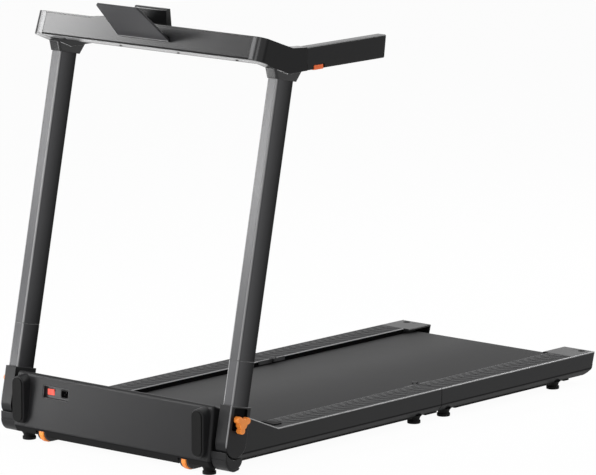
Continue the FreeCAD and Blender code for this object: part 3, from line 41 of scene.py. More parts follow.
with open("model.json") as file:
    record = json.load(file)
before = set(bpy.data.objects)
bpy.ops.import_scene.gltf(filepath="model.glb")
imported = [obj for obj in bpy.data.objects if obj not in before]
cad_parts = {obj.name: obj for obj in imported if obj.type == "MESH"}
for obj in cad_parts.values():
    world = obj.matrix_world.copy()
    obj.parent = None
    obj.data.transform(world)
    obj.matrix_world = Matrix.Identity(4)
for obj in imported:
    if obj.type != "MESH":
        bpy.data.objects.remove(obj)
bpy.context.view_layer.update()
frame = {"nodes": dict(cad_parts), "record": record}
parts = frame["nodes"]
scene = bpy.context.scene
mm = 0.001

# Lines of the real object that several finishes and pieces follow
deck = {"stripWide": 76 * mm, "slopeFoot": -466 * mm, "slopeRise": 90 / 223.5, "foldY": 126 * mm}
post = {"pivotY": -664 * mm, "pivotZ": 79 * mm, "rake": math.radians(12)}
console = {"y": -566 * mm, "z": 1001 * mm, "tilt": math.radians(19.5), "tall": 56 * mm, "half": 321.7 * mm}


def linear(colour):
    # sRGB hex to the linear values that the shaders take
    channels = [int(colour[i:i + 2], 16) / 255 for i in (1, 3, 5)]
    bent = [c / 12.92 if c <= 0.04045 else ((c + 0.055) / 1.055) ** 2.4 for c in channels]
    return (*bent, 1.0)


def addNode(tree, kind, settings=None, links=None):
    made = tree.nodes.new(kind)
    for name, setting in (settings or {}).items():
        if isinstance(name, int) or name in made.inputs:
            made.inputs[name].default_value = setting
        else:
            setattr(made, name, setting)
    for name, source in (links or {}).items():
        tree.links.new(source, made.inputs[name])
    return made


def blankMaterial(name):
    made = bpy.data.materials.new(name)
    made.use_nodes = True
    made.node_tree.nodes.clear()
    return made, made.node_tree


def tintAndSheen(tree, look, level):
    # the look's two colours and its two roughnesses, mixed by one pattern
    tint = addNode(tree, "ShaderNodeMix",
                   {"data_type": "RGBA", 6: linear(look["dark"]), 7: linear(look["light"])}, {0: level})
    sheen = addNode(tree, "ShaderNodeMapRange",
                    {"To Min": look["rough"][0], "To Max": look["rough"][1]}, {"Value": level})
    return tint, sheen


def closeMaterial(tree, settings, tint, sheen, relief=None, gloss=None):
    links = {"Base Color": tint.outputs[2], "Roughness": sheen.outputs["Result"]}
    if relief:
        links["Normal"] = relief.outputs["Normal"]
    if gloss:
        links["Specular IOR Level"] = gloss.outputs[0]
    shader = addNode(tree, "ShaderNodeBsdfPrincipled", settings, links)
    addNode(tree, "ShaderNodeOutputMaterial", {}, {"Surface": shader.outputs[0]})


def leaning(angle):
    # the axes of a side view that leans: to the rear, square to the lean, and up along it
    cosine, sine = math.cos(angle), math.sin(angle)
    return (0.0, cosine, -sine), (0.0, sine, cosine)


postBack, postUp = leaning(post["rake"])
postPivot = (0.0, post["pivotY"], post["pivotZ"])
consoleBack, consoleUp = leaning(console["tilt"])
consoleEdge = (0.0, console["y"], console["z"])


def onConsole(back, rise):
    # Y and Z of a place on the console's side view, from its top front edge
    return tuple(edge + back * rearward + rise * upward
                 for edge, rearward, upward in zip(consoleEdge[1:], consoleBack[1:], consoleUp[1:]))


# Rulers that the zones are measured on: a direction, and the point where it reads zero
rulers = {
    "out": ((1.0, 0.0, 0.0), (0.0, 0.0, 0.0)),
    "up": ((0.0, 0.0, 1.0), (0.0, 0.0, 0.0)),
    "overSlope": ((0.0, deck["slopeRise"], 1.0), (0.0, deck["slopeFoot"], 0.0)),
    "postBack": (postBack, postPivot),
    "postUp": (postUp, postPivot),
    "consoleBack": (consoleBack, consoleEdge),
    "consoleUp": (consoleUp, consoleEdge),
    "flapUp": ((0.0, 0.0, 1.0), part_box("phone_flap")[0]),
}

# Zones where a finish differs, most of them painted highlights, painted reflections and painted shade: ramps
# that all have to rise, each a ruler with its start and end in mm
zones = {
    # painted highlight along the side covers' rounded top rim, up the hood slope too
    "coverEdgeHighlight": (("up", 73.0, 73.8), ("overSlope", 73.0, 73.8), ("out", 307.0, 307.6)),
    # painted shade in the crease low on the side covers, and below it
    "coverCreaseShade": (("up", 32.5, 34.5), ("up", 38.5, 36.5)),
    "coverUnderShade": (("up", 33.5, 32.5),),
    # painted shade low on the hood, below its crease
    "hoodUnderShade": (("up", 36.0, 34.5),),
    # painted highlight along the tread strips' inner lip
    "stripLipHighlight": (("out", 236.2, 235.7), ("up", 73.6, 74.2)),
    # painted shade on the strips' inner wall, in the gap down to the belt
    "stripWallShade": (("out", 234.9, 234.6), ("up", 73.6, 73.0)),
    # painted shade on the uprights, darker to the rear
    "postRearShade": (("postBack", -29, 29),),
    # painted highlight along the uprights' seam
    "postSeamHighlight": (("postUp", 186.6, 187.2), ("postUp", 188.8, 188.2)),
    # painted highlights along the uprights' front outer and inner edges
    "postOuterEdgeHighlight": (("postBack", -26.2, -27.0), ("out", 349.6, 350.4)),
    "postInnerEdgeHighlight": (("postBack", -26.2, -27.0), ("out", 328.4, 327.6)),
    # painted highlight along the boots' front outer edge
    "bootOuterEdgeHighlight": (("postBack", -31.5, -33.0), ("out", 354.2, 355.4)),
    # painted shade in the window round the knob
    "bootWindowShade": (("out", 350.5, 352.0), ("out", 356.4, 355.6), ("postUp", 26.5, 28.0),
                   ("postUp", 81.5, 80.0), ("postBack", -24.5, -23.0), ("postBack", 24.5, 23.0)),
    # pale painted reflection of the floor on the console's underside, near its front
    "consoleKeelReflection": (("consoleUp", -55.2, -55.7), ("consoleBack", 34, 28)),
    # painted shade on the outer side of the console's corners
    "cornerSideShade": (("out", 353.5, 355.5),),
    # painted highlight down the console's rounded corners
    "cornerBendHighlight": (("out", 322.5, 325.0), ("out", 336.0, 331.0), ("consoleBack", 16, 8),
                   ("consoleUp", -54.0, -52.0), ("consoleUp", -1.0, -3.0)),
    # pale painted reflection on the arms' top faces
    "armTopReflection": (("up", 960.2, 961.2),),
    # painted highlight along the foot of the phone flap
    "flapEdgeHighlight": (("flapUp", 2.6, 1.8),),
}


def zone(tree, place, name):
    # how far a point is inside a zone: X counts outward, so both sides of the object are alike
    spot = addNode(tree, "ShaderNodeSeparateXYZ", {}, {0: place})
    outward = addNode(tree, "ShaderNodeMath", {"operation": "ABSOLUTE"}, {0: spot.outputs["X"]})
    spot = addNode(tree, "ShaderNodeCombineXYZ", {},
                   {0: outward.outputs[0], 1: spot.outputs["Y"], 2: spot.outputs["Z"]})
    share = None
    for ruler, start, end in zones[name]:
        direction, zero = rulers[ruler]
        shift = sum(d * z for d, z in zip(direction, zero))
        level = addNode(tree, "ShaderNodeVectorMath", {"operation": "DOT_PRODUCT", 1: direction},
                        {0: spot.outputs[0]})
        ramp = addNode(tree, "ShaderNodeMapRange",
                       {"From Min": start * mm + shift, "From Max": end * mm + shift},
                       {"Value": level.outputs["Value"]})
        if share:
            ramp = addNode(tree, "ShaderNodeMath", {"operation": "MULTIPLY"},
                           {0: share.outputs[0], 1: ramp.outputs[0]})
        share = ramp
    return share


# What all mouldings, coats and rubbers have in common
mould = {"cloudDetail": 3.0, "grainDetail": 2.0, "edgeSamples": 4, "relief": 0.25, "ior": 1.5}


def mouldedFinish(look):
    # a moulded or coated surface: cloudy tint, a grain in the tool, edges eased by a small radius
    made, tree = blankMaterial(look["name"])
    place = addNode(tree, "ShaderNodeTexCoord").outputs["Object"]
    cloud = addNode(tree, "ShaderNodeTexNoise",
                    {"Scale": 1 / (look["cloud"] * mm), "Detail": mould["cloudDetail"]}, {"Vector": place})
    tint, sheen = tintAndSheen(tree, look, cloud.outputs["Fac"])
    eased = addNode(tree, "ShaderNodeBevel", {"samples": mould["edgeSamples"], "Radius": look["edge"] * mm})
    grain = addNode(tree, "ShaderNodeTexNoise",
                    {"Scale": 1 / (look["grain"] * mm), "Detail": mould["grainDetail"]}, {"Vector": place})
    relief = addNode(tree, "ShaderNodeBump", {"Strength": mould["relief"], "Distance": look["depth"] * mm},
                     {"Height": grain.outputs["Fac"], "Normal": eased.outputs["Normal"]})
    gloss = None
    # each layer paints its zone's colour over the tint; most layers are painted highlights, painted
    # reflections and painted shade
    for name, colour, specular in look.get("layers", ()):
        share = zone(tree, place, name).outputs[0]
        tint = addNode(tree, "ShaderNodeMix", {"data_type": "RGBA", 7: linear(colour)},
                       {0: share, 6: tint.outputs[2]})
        under = {2: gloss.outputs[0]} if gloss else {}
        gloss = addNode(tree, "ShaderNodeMix", {"data_type": "FLOAT", 2: look["specular"], 3: specular},
                        {0: share, **under})
    settings = {"IOR": mould["ior"], "Specular IOR Level": look["specular"]}
    closeMaterial(tree, settings, tint, sheen, relief, gloss)
    return made


# Mouldings, coats and rubbers: sizes in mm, layers as zone, colour and specular level
finishes = {
    # powder coat on steel tube: black, half matt, faint orange peel
    "frame_steel": {
        "name": "powderCoatedSteel", "dark": "#1c1c1d", "light": "#232325", "cloud": 40,
        "rough": (0.42, 0.52), "grain": 1.6, "depth": 0.05, "edge": 1.0, "specular": 0.3},
    # ABS moulded in a spark eroded tool: dark grey, even, fine grain that kills sharp reflections, with
    # painted shade below its lower crease
    "hood_plastic": {
        "name": "grainedAbsHood", "dark": "#1d1d1e", "light": "#212122", "cloud": 90,
        "rough": (0.36, 0.44), "grain": 1.1, "depth": 0.06, "edge": 2.0, "specular": 0.14,
        "layers": (("hoodUnderShade", "#121213", 0.05),)},
    # the same ABS on the side covers and end caps, a shade darker, with a painted highlight along its rounded
    # top rim, painted shade in the crease low on its side, and darker painted shade below that crease
    "cover_plastic": {
        "name": "grainedAbsCover", "dark": "#19191a", "light": "#1d1d1e", "cloud": 90,
        "rough": (0.28, 0.36), "grain": 1.1, "depth": 0.05, "edge": 1.0, "specular": 0.19,
        "layers": (("coverUnderShade", "#151516", 0.07), ("coverCreaseShade", "#0a0a0b", 0.05),
                   ("coverEdgeHighlight", "#8c8c8d", 0.3))},
    # filled nylon of the tread strips: matt, slightly rough underfoot, with a painted highlight along its
    # inner lip and painted shade on the wall down to the belt
    "tread_plastic": {
        "name": "filledNylonTread", "dark": "#222223", "light": "#282829", "cloud": 25,
        "rough": (0.55, 0.65), "grain": 1.4, "depth": 0.10, "edge": 1.0, "specular": 0.15,
        "layers": (("stripLipHighlight", "#a2a2a3", 0.3), ("stripWallShade", "#080809", 0.02))},
    # glass filled nylon: black, dull
    "black_plastic": {
        "name": "glassFilledNylon", "dark": "#1b1b1c", "light": "#212122", "cloud": 35,
        "rough": (0.34, 0.42), "grain": 1.2, "depth": 0.05, "edge": 1.5, "specular": 0.16},
    # the same nylon on the collars, polished
    "collar": {
        "name": "polishedNylonCollar", "dark": "#161617", "light": "#1a1a1b", "cloud": 35,
        "rough": (0.16, 0.22), "grain": 1.2, "depth": 0.02, "edge": 2.5, "specular": 0.4},
    # the same nylon on the boots, with a painted highlight along its front outer edge and painted shade, matt
    # and black, in the knob's window
    "boot": {
        "name": "glassFilledNylonBoot", "dark": "#1a1a1b", "light": "#1f1f20", "cloud": 35,
        "rough": (0.34, 0.42), "grain": 1.2, "depth": 0.05, "edge": 1.5, "specular": 0.14,
        "layers": (("bootOuterEdgeHighlight", "#8c8c8d", 0.4), ("bootWindowShade", "#050506", 0.03))},
    # moulded EPDM rubber: near black, dry
    "pad_rubber": {
        "name": "mouldedRubber", "dark": "#101010", "light": "#161616", "cloud": 18,
        "rough": (0.6, 0.72), "grain": 0.9, "depth": 0.08, "edge": 1.2, "specular": 0.1},
    # enamel on the motor's drawn can
    "motor_paint": {
        "name": "stovedEnamel", "dark": "#26282b", "light": "#2d2f33", "cloud": 30,
        "rough": (0.25, 0.32), "grain": 2.0, "depth": 0.03, "edge": 1.0, "specular": 0.5},
    # satin coat over extruded aluminium: broad soft highlights, painted shade that darkens it to the rear,
    # painted highlights along its front edges and along a seam
    "upright_paint": {
        "name": "satinCoatedAluminium", "dark": "#424244", "light": "#474749", "cloud": 120,
        "rough": (0.26, 0.32), "grain": 1.4, "depth": 0.03, "edge": 1.0, "specular": 0.32,
        "layers": (("postRearShade", "#070708", 0.04), ("postOuterEdgeHighlight", "#828283", 0.4),
                   ("postInnerEdgeHighlight", "#828283", 0.4), ("postSeamHighlight", "#4c4c4d", 0.4))},
    # painted ABS of the handrail: satin, smooth, with a painted highlight at its bends, painted shade on the
    # outer sides of its corners, and a pale painted reflection of the floor on its underside
    "console_plastic": {
        "name": "satinPaintedAbs", "dark": "#1c1c1d", "light": "#202021", "cloud": 120,
        "rough": (0.18, 0.22), "grain": 1.2, "depth": 0.02, "edge": 1.5, "specular": 0.32,
        "layers": (("cornerSideShade", "#161617", 0.12), ("cornerBendHighlight", "#5c5c5d", 0.4),
                   ("consoleKeelReflection", "#8a8a8b", 0.3))},
    # gloss ABS of the console's top and display pod
    "panel_plastic": {
        "name": "polishedAbs", "dark": "#0c0c0d", "light": "#101011", "cloud": 60,
        "rough": (0.16, 0.22), "grain": 1.5, "depth": 0.01, "edge": 1.5, "specular": 0.4},
    # soft touch coat on the arms: dull and even, shinier on top, with a pale painted reflection there
    "arm_plastic": {
        "name": "softTouchAbs", "dark": "#161617", "light": "#1a1a1b", "cloud": 70,
        "rough": (0.42, 0.5), "grain": 1.0, "depth": 0.05, "edge": 1.5, "specular": 0.13,
        "layers": (("armTopReflection", "#6a6a6b", 0.5),)},
    # polycarbonate plate of the phone flap, with a painted highlight along its foot
    "flap_plastic": {
        "name": "satinPolycarbonate", "dark": "#303032", "light": "#353537", "cloud": 70,
        "rough": (0.34, 0.4), "grain": 1.0, "depth": 0.03, "edge": 1.0, "specular": 0.28,
        "layers": (("flapEdgeHighlight", "#8c8c8d", 0.4),)},
    # silicone keys: dark grey, matt
    "button_plastic": {
        "name": "siliconeKey", "dark": "#2a2a2b", "light": "#303031", "cloud": 12,
        "rough": (0.5, 0.6), "grain": 0.8, "depth": 0.04, "edge": 0.8, "specular": 0.35},
    # dyed acetal: saturated orange, slightly waxy
    "orange_plastic": {
        "name": "dyedAcetal", "dark": "#f58a2e", "light": "#ff9b45", "cloud": 10,
        "rough": (0.4, 0.5), "grain": 1.0, "depth": 0.08, "edge": 0.8, "specular": 0.4},
    # the same on the latches, redder
    "latch": {
        "name": "dyedAcetalLatch", "dark": "#f56a2a", "light": "#ff7836", "cloud": 10,
        "rough": (0.4, 0.5), "grain": 1.0, "depth": 0.05, "edge": 0.8, "specular": 0.4},
    # tinted polycarbonate of the mains rocker: red, glossy
    "red_plastic": {
        "name": "tintedRocker", "dark": "#f0483a", "light": "#fb5a48", "cloud": 8,
        "rough": (0.25, 0.32), "grain": 0.8, "depth": 0.02, "edge": 0.6, "specular": 0.5},
    # moulded tray of the switch recess: smooth, a shade paler than the hood
    "tray": {
        "name": "smoothAbsTray", "dark": "#2c2c2d", "light": "#313132", "cloud": 30,
        "rough": (0.4, 0.5), "grain": 1.5, "depth": 0.02, "edge": 0.8, "specular": 0.3},
    # grey paint on the leaves of the fold hinge
    "hinge": {
        "name": "greyPaintedSteel", "dark": "#3c3c3d", "light": "#424243", "cloud": 20,
        "rough": (0.5, 0.6), "grain": 1.4, "depth": 0.04, "edge": 0.8, "specular": 0.25},
    # white ink on the keys: flat, slightly chalky
    "ink": {
        "name": "screenPrintedInk", "dark": "#c4c4c2", "light": "#d2d2d0", "cloud": 4,
        "rough": (0.5, 0.6), "grain": 0.5, "depth": 0.01, "edge": 0.1, "specular": 0.4},
    # unlit light bars of the display, a shade paler than its window
    "segment": {
        "name": "unlitLightBar", "dark": "#2a2d30", "light": "#33363a", "cloud": 5,
        "rough": (0.3, 0.4), "grain": 0.6, "depth": 0.01, "edge": 0.1, "specular": 0.5},
}
# raised ribs of the tread, painted paler than the strip between them as a painted highlight on their tops
finishes["rib"] = dict(finishes["tread_plastic"], name="wornNylonRib", dark="#353536", light="#3c3c3d",
                       layers=())
materials = {slot: mouldedFinish(look) for slot, look in finishes.items()}

# Bare metals, with lines along X from drawing, extruding or turning: sizes in mm
metals = {
    # zinc plated steel: bright, slightly blue
    "bare_steel": {
        "name": "zincPlatedSteel", "dark": "#9a9da0", "light": "#b4b7ba", "line": 0.7, "stretch": 40,
        "rough": (0.24, 0.36), "depth": 0.02},
    # extruded aluminium of the cooling fins: paler, duller
    "fin_aluminium": {
        "name": "extrudedAluminium", "dark": "#a9abad", "light": "#c2c4c6", "line": 0.9, "stretch": 30,
        "rough": (0.32, 0.42), "depth": 0.03},
    # blackened screw heads
    "screw": {
        "name": "blackOxideSteel", "dark": "#1d1d1e", "light": "#2a2a2b", "line": 0.5, "stretch": 8,
        "rough": (0.3, 0.42), "depth": 0.01},
}
metalLines = {"detail": 3.0, "relief": 0.3}


def linedMetal(look):
    made, tree = blankMaterial(look["name"])
    place = addNode(tree, "ShaderNodeTexCoord").outputs["Object"]
    drawn = addNode(tree, "ShaderNodeMapping", {"Scale": (1 / look["stretch"], 1.0, 1.0)}, {"Vector": place})
    lines = addNode(tree, "ShaderNodeTexNoise",
                    {"Scale": 1 / (look["line"] * mm), "Detail": metalLines["detail"]},
                    {"Vector": drawn.outputs[0]})
    tint, sheen = tintAndSheen(tree, look, lines.outputs["Fac"])
    relief = addNode(tree, "ShaderNodeBump",
                     {"Strength": metalLines["relief"], "Distance": look["depth"] * mm},
                     {"Height": lines.outputs["Fac"]})
    closeMaterial(tree, {"Metallic": 1.0}, tint, sheen, relief)
    return made


for slot, look in metals.items():
    materials[slot] = linedMetal(look)

# Fibreboard of the deck under the belt: black wax on pressed fibres along Y
boardLook = {"dark": "#141312", "light": "#211e1b", "fibre": 1.2, "stretch": 14, "detail": 5.0,
             "rough": (0.5, 0.65), "depth": 0.08, "relief": 0.3, "ior": 1.45, "specular": 0.2}


def waxedBoard(look):
    made, tree = blankMaterial("waxedFibreboard")
    place = addNode(tree, "ShaderNodeTexCoord").outputs["Object"]
    pressed = addNode(tree, "ShaderNodeMapping", {"Scale": (1.0, 1 / look["stretch"], 1.0)},
                      {"Vector": place})
    fibres = addNode(tree, "ShaderNodeTexNoise",
                     {"Scale": 1 / (look["fibre"] * mm), "Detail": look["detail"]},
                     {"Vector": pressed.outputs[0]})
    tint, sheen = tintAndSheen(tree, look, fibres.outputs["Fac"])
    relief = addNode(tree, "ShaderNodeBump", {"Strength": look["relief"], "Distance": look["depth"] * mm},
                     {"Height": fibres.outputs["Fac"]})
    closeMaterial(tree, {"IOR": look["ior"], "Specular IOR Level": look["specular"]}, tint, sheen, relief)
    return made


materials["board_wood"] = waxedBoard(boardLook)

# Smoked acrylic over the display: black and glossy, with a faint haze of fingerprints in the gloss
windowLook = {"dark": "#08090a", "light": "#0d0e10", "haze": 22, "detail": 4.0, "rough": (0.05, 0.16),
              "ior": 1.49}


def smokedWindow(look):
    made, tree = blankMaterial("smokedAcrylic")
    place = addNode(tree, "ShaderNodeTexCoord").outputs["Object"]
    haze = addNode(tree, "ShaderNodeTexNoise", {"Scale": 1 / (look["haze"] * mm), "Detail": look["detail"]},
                   {"Vector": place})
    tint, sheen = tintAndSheen(tree, look, haze.outputs["Fac"])
    closeMaterial(tree, {"IOR": look["ior"]}, tint, sheen)
    return made


materials["display_glass"] = smokedWindow(windowLook)

# Walking belt: PVC with an embossed lozenge, matt grey black. Such belts have a lozenge of about 2 mm,
# drawn here at 5 mm so that it shows
beltLook = {"dark": "#303031", "light": "#353535", "cloud": 160, "detail": 4.0, "lozenge": 5.0,
            "slant": math.radians(45), "rough": (0.62, 0.7), "depth": 0.12, "relief": 0.35, "ior": 1.52,
            "specular": 0.15}


def embossedBelt(look):
    made, tree = blankMaterial("embossedPvcBelt")
    place = addNode(tree, "ShaderNodeTexCoord").outputs["UV"]
    cloud = addNode(tree, "ShaderNodeTexNoise", {"Scale": 1 / (look["cloud"] * mm), "Detail": look["detail"]},
                    {"Vector": place})
    tint, sheen = tintAndSheen(tree, look, cloud.outputs["Fac"])
    bands = []
    for turn in (look["slant"], -look["slant"]):
        turned = addNode(tree, "ShaderNodeMapping", {"Rotation": (0.0, 0.0, turn)}, {"Vector": place})
        # a wave of this node repeats every pi / 10 at scale 1
        band = addNode(tree, "ShaderNodeTexWave",
                       {"wave_type": "BANDS", "Scale": math.pi / (10 * look["lozenge"] * mm)},
                       {"Vector": turned.outputs[0]})
        bands.append(band.outputs["Fac"])
    lozenge = addNode(tree, "ShaderNodeMath", {"operation": "MULTIPLY"}, {0: bands[0], 1: bands[1]})
    relief = addNode(tree, "ShaderNodeBump", {"Strength": look["relief"], "Distance": look["depth"] * mm},
                     {"Height": lozenge.outputs[0]})
    closeMaterial(tree, {"IOR": look["ior"], "Specular IOR Level": look["specular"]}, tint, sheen, relief)
    return made


materials["belt_rubber"] = embossedBelt(beltLook)

# Each node takes the finish of its slot in the record, or one of its own
slotOf = {item["node"]: item["material_slot"] for item in frame["record"]["subparts"]}
ownFinish = {"switch_tray": "tray", "boot_left": "boot", "boot_right": "boot", "top_collars": "collar",
             "latch_left": "latch", "latch_right": "latch",
             "front_hinge_leaves": "hinge", "rear_hinge_leaves": "hinge"}
for name, node in parts.items():
    node.data.materials.clear()
    node.data.materials.append(materials[ownFinish.get(name, slotOf[name])])
print("materials:", len(materials), "finishes on", len(slotOf), "nodes")


def pieceFrom(name, mesh, material):
    made = bpy.data.objects.new(name, mesh)
    made.data.materials.append(material)
    scene.collection.objects.link(made)
    return made


def meshFrom(name, shape):
    bmesh.ops.recalc_face_normals(shape, faces=shape.faces)
    mesh = bpy.data.meshes.new(name)
    shape.to_mesh(mesh)
    shape.free()
    return mesh


def settle(piece, body):
    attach(piece, body)


def bridge(shape, ring, further):
    # faces between two rings of as many points
    for i in range(len(ring)):
        j = (i + 1) % len(ring)
        shape.faces.new((ring[i], ring[j], further[j], further[i]))


def prism(shape, bottom, top):
    bridge(shape, bottom, top)
    shape.faces.new(bottom)
    shape.faces.new(top)


def crossBar(shape, outline, start, end):
    # a bar of the given section in Y and Z, from one X to another
    prism(shape, *[[shape.verts.new((x, y, z)) for y, z in outline] for x in (start, end)])


def roundTurn(sides):
    # even steps round a full turn
    return [2 * math.pi * i / sides for i in range(sides)]


# Walking belt: one closed band round both rollers, finely cut about the fold
beltSizes = {"thick": 2 * mm, "edge": 0.6 * mm, "step": 20 * mm, "foldStep": 3 * mm, "foldReach": 70 * mm,
             "fineReach": 84 * mm, "turnSteps": 28}
beltLow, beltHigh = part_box("walking_belt")
turnRadius = (beltHigh.z - beltLow.z) / 2
turnZ = (beltHigh.z + beltLow.z) / 2
runStart, runEnd = beltLow.y + turnRadius, beltHigh.y - turnRadius


def beltRun():
    # stations along a flat run, close together about the fold
    fineFrom, fineTo = deck["foldY"] - beltSizes["fineReach"], deck["foldY"] + beltSizes["fineReach"]
    stations = []
    for start, end, step in ((runStart, fineFrom, beltSizes["step"]),
                             (fineFrom, fineTo, beltSizes["foldStep"]),
                             (fineTo, runEnd, beltSizes["step"])):
        count = max(1, round((end - start) / step))
        stations += [start + (end - start) * i / count for i in range(count)]
    return stations + [runEnd]


def beltPath():
    # stations round the loop: place and outward normal in Y and Z
    run = beltRun()
    turns = [math.pi * i / beltSizes["turnSteps"] for i in range(1, beltSizes["turnSteps"])]
    path = [(y, beltHigh.z, 0.0, 1.0) for y in run]
    for turn in turns:
        sine, cosine = math.sin(turn), math.cos(turn)
        path.append((runEnd + turnRadius * sine, turnZ + turnRadius * cosine, sine, cosine))
    path += [(y, beltLow.z, 0.0, -1.0) for y in reversed(run)]
    for turn in turns:
        sine, cosine = math.sin(turn), math.cos(turn)
        path.append((runStart - turnRadius * sine, turnZ - turnRadius * cosine, -sine, -cosine))
    return path


def beltBand():
    # the section swept along the path, with a UV map of the place across and the travel, in metres
    thick, edge, half = beltSizes["thick"], beltSizes["edge"], beltHigh.x
    section = [(-half + edge, 0.0), (half - edge, 0.0), (half, edge), (half, thick - edge),
               (half - edge, thick), (-half + edge, thick), (-half, thick - edge), (-half, edge)]
    path = beltPath()
    travel = [0.0]
    for here, ahead in zip(path, path[1:] + path[:1]):
        travel.append(travel[-1] + math.dist(here[:2], ahead[:2]))
    shape = bmesh.new()
    uvLayer = shape.loops.layers.uv.new("run")
    rings = [[shape.verts.new((x, y - ny * d, z - nz * d)) for x, d in section] for y, z, ny, nz in path]
    for i, ring in enumerate(rings):
        further = rings[(i + 1) % len(rings)]
        for k in range(len(section)):
            j = (k + 1) % len(section)
            face = shape.faces.new((ring[k], ring[j], further[j], further[k]))
            face.smooth = True
            corners = ((section[k][0], travel[i]), (section[j][0], travel[i]),
                       (section[j][0], travel[i + 1]), (section[k][0], travel[i + 1]))
            for loop, corner in zip(face.loops, corners):
                loop[uvLayer].uv = corner
    return meshFrom("walkingBelt", shape)


walkingBelt = pieceFrom("walkingBelt", beltBand(), materials["belt_rubber"])
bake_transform(walkingBelt)
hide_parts("walking_belt")
print("walking belt:", len(walkingBelt.data.polygons), "faces")


def openTree(name, inputs):
    # a new geometry tree with the given named inputs, and the outputs of its input node
    tree = bpy.data.node_groups.new(name, "GeometryNodeTree")
    tree.interface.new_socket("Geometry", in_out="OUTPUT", socket_type="NodeSocketGeometry")
    for label, kind in inputs.items():
        tree.interface.new_socket(label, in_out="INPUT", socket_type="NodeSocket" + kind)
    return tree, addNode(tree, "NodeGroupInput").outputs


def closeTree(tree, instances, material):
    solid = addNode(tree, "GeometryNodeRealizeInstances", {}, {"Geometry": instances})
    coated = addNode(tree, "GeometryNodeSetMaterial", {},
                     {"Geometry": solid.outputs[0], "Material": material})
    addNode(tree, "NodeGroupOutput", {}, {"Geometry": coated.outputs[0]})


def grown(name, tree, inputs, seeds=()):
    # evaluates one tree on the given points and returns the plain mesh
    points = bpy.data.meshes.new(name)
    points.from_pydata(seeds, [], [])
    host = bpy.data.objects.new(name, points)
    scene.collection.objects.link(host)
    maker = host.modifiers.new("maker", "NODES")
    maker.node_group = tree
    keys = {item.name: item.identifier for item in tree.interface.items_tree if item.in_out == "INPUT"}
    for label, setting in inputs.items():
        maker[keys[label]] = setting
    graph = bpy.context.evaluated_depsgraph_get()
    mesh = bpy.data.meshes.new_from_object(host.evaluated_get(graph))
    bpy.data.objects.remove(host)
    return mesh


def joined(name, meshes, material):
    shape = bmesh.new()
    for mesh in meshes:
        shape.from_mesh(mesh)
    mesh = bpy.data.meshes.new(name)
    shape.to_mesh(mesh)
    shape.free()
    mesh.materials.clear()
    made = pieceFrom(name, mesh, material)
    for face in mesh.polygons:
        face.use_smooth = True
    return made


# Tread ribs: raised slanted bars in two mirrored rows on the tread strips, one tree for all four strips
ribSizes = {"pitch": 25 * mm, "rows": 2, "rowPitch": 31 * mm, "long": 40 * mm, "wide": 14 * mm,
            "rise": 1.0 * mm, "border": 12 * mm, "hoodGap": 30 * mm, "sink": 0.05 * mm,
            "slant": math.radians(40), "sides": 10, "rings": 4}


def treadTree():
    tree, given = openTree("treadRibs", {"Length": "Float", "Width": "Float", "Columns": "Int", "Rows": "Int",
                                         "Rib Size": "Vector", "Centre": "Vector", "Material": "Material"})
    field = addNode(tree, "GeometryNodeMeshGrid", {},
                    {"Size X": given["Width"], "Size Y": given["Length"],
                     "Vertices X": given["Rows"], "Vertices Y": given["Columns"]})
    # a rib one unit across, which the rib size stretches
    rib = addNode(tree, "GeometryNodeMeshUVSphere",
                  {"Segments": ribSizes["sides"], "Rings": ribSizes["rings"], "Radius": 0.5})
    flat = addNode(tree, "GeometryNodeTransform", {},
                   {"Geometry": rib.outputs["Mesh"], "Scale": given["Rib Size"]})
    # odd rows lean the other way
    number = addNode(tree, "GeometryNodeInputIndex")
    row = addNode(tree, "ShaderNodeMath", {"operation": "DIVIDE"},
                  {0: number.outputs[0], 1: given["Columns"]})
    whole = addNode(tree, "ShaderNodeMath", {"operation": "FLOOR"}, {0: row.outputs[0]})
    parity = addNode(tree, "ShaderNodeMath", {"operation": "MODULO", 1: 2.0}, {0: whole.outputs[0]})
    turn = addNode(tree, "ShaderNodeMapRange", {"To Min": -ribSizes["slant"], "To Max": ribSizes["slant"]},
                   {"Value": parity.outputs[0]})
    spin = addNode(tree, "ShaderNodeCombineXYZ", {}, {"Z": turn.outputs[0]})
    spread = addNode(tree, "GeometryNodeInstanceOnPoints", {},
                     {"Points": field.outputs["Mesh"], "Instance": flat.outputs[0],
                      "Rotation": spin.outputs[0]})
    placed = addNode(tree, "GeometryNodeTransform", {},
                     {"Geometry": spread.outputs[0], "Translation": given["Centre"]})
    closeTree(tree, placed.outputs[0], given["Material"])
    return tree


# the strips of each body, and how much more stays bare at their front
ribbedStrips = {"base": ("front_tread_strips", ribSizes["hoodGap"]), "rear_deck": ("rear_tread_strips", 0.0)}
ribTree = treadTree()
for body, (node, frontGap) in ribbedStrips.items():
    low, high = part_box(node)
    start = low.y + ribSizes["border"] + frontGap
    end = high.y - ribSizes["border"]
    columns = int((end - start) / ribSizes["pitch"]) + 1
    meshes = []
    for side in (-1, 1):
        middle = (side * (high.x - deck["stripWide"] / 2), (start + end) / 2, high.z - ribSizes["sink"])
        meshes.append(grown("ribs", ribTree, {
            "Length": (columns - 1) * ribSizes["pitch"],
            "Width": (ribSizes["rows"] - 1) * ribSizes["rowPitch"],
            "Columns": columns, "Rows": ribSizes["rows"],
            "Rib Size": (ribSizes["long"], ribSizes["wide"], 2 * ribSizes["rise"]), "Centre": middle,
            "Material": materials["rib"]}))
    ribs = joined(body + "TreadRibs", meshes, materials["rib"])
    settle(ribs, body)
    print("tread ribs on", body, len(ribs.data.polygons), "faces")

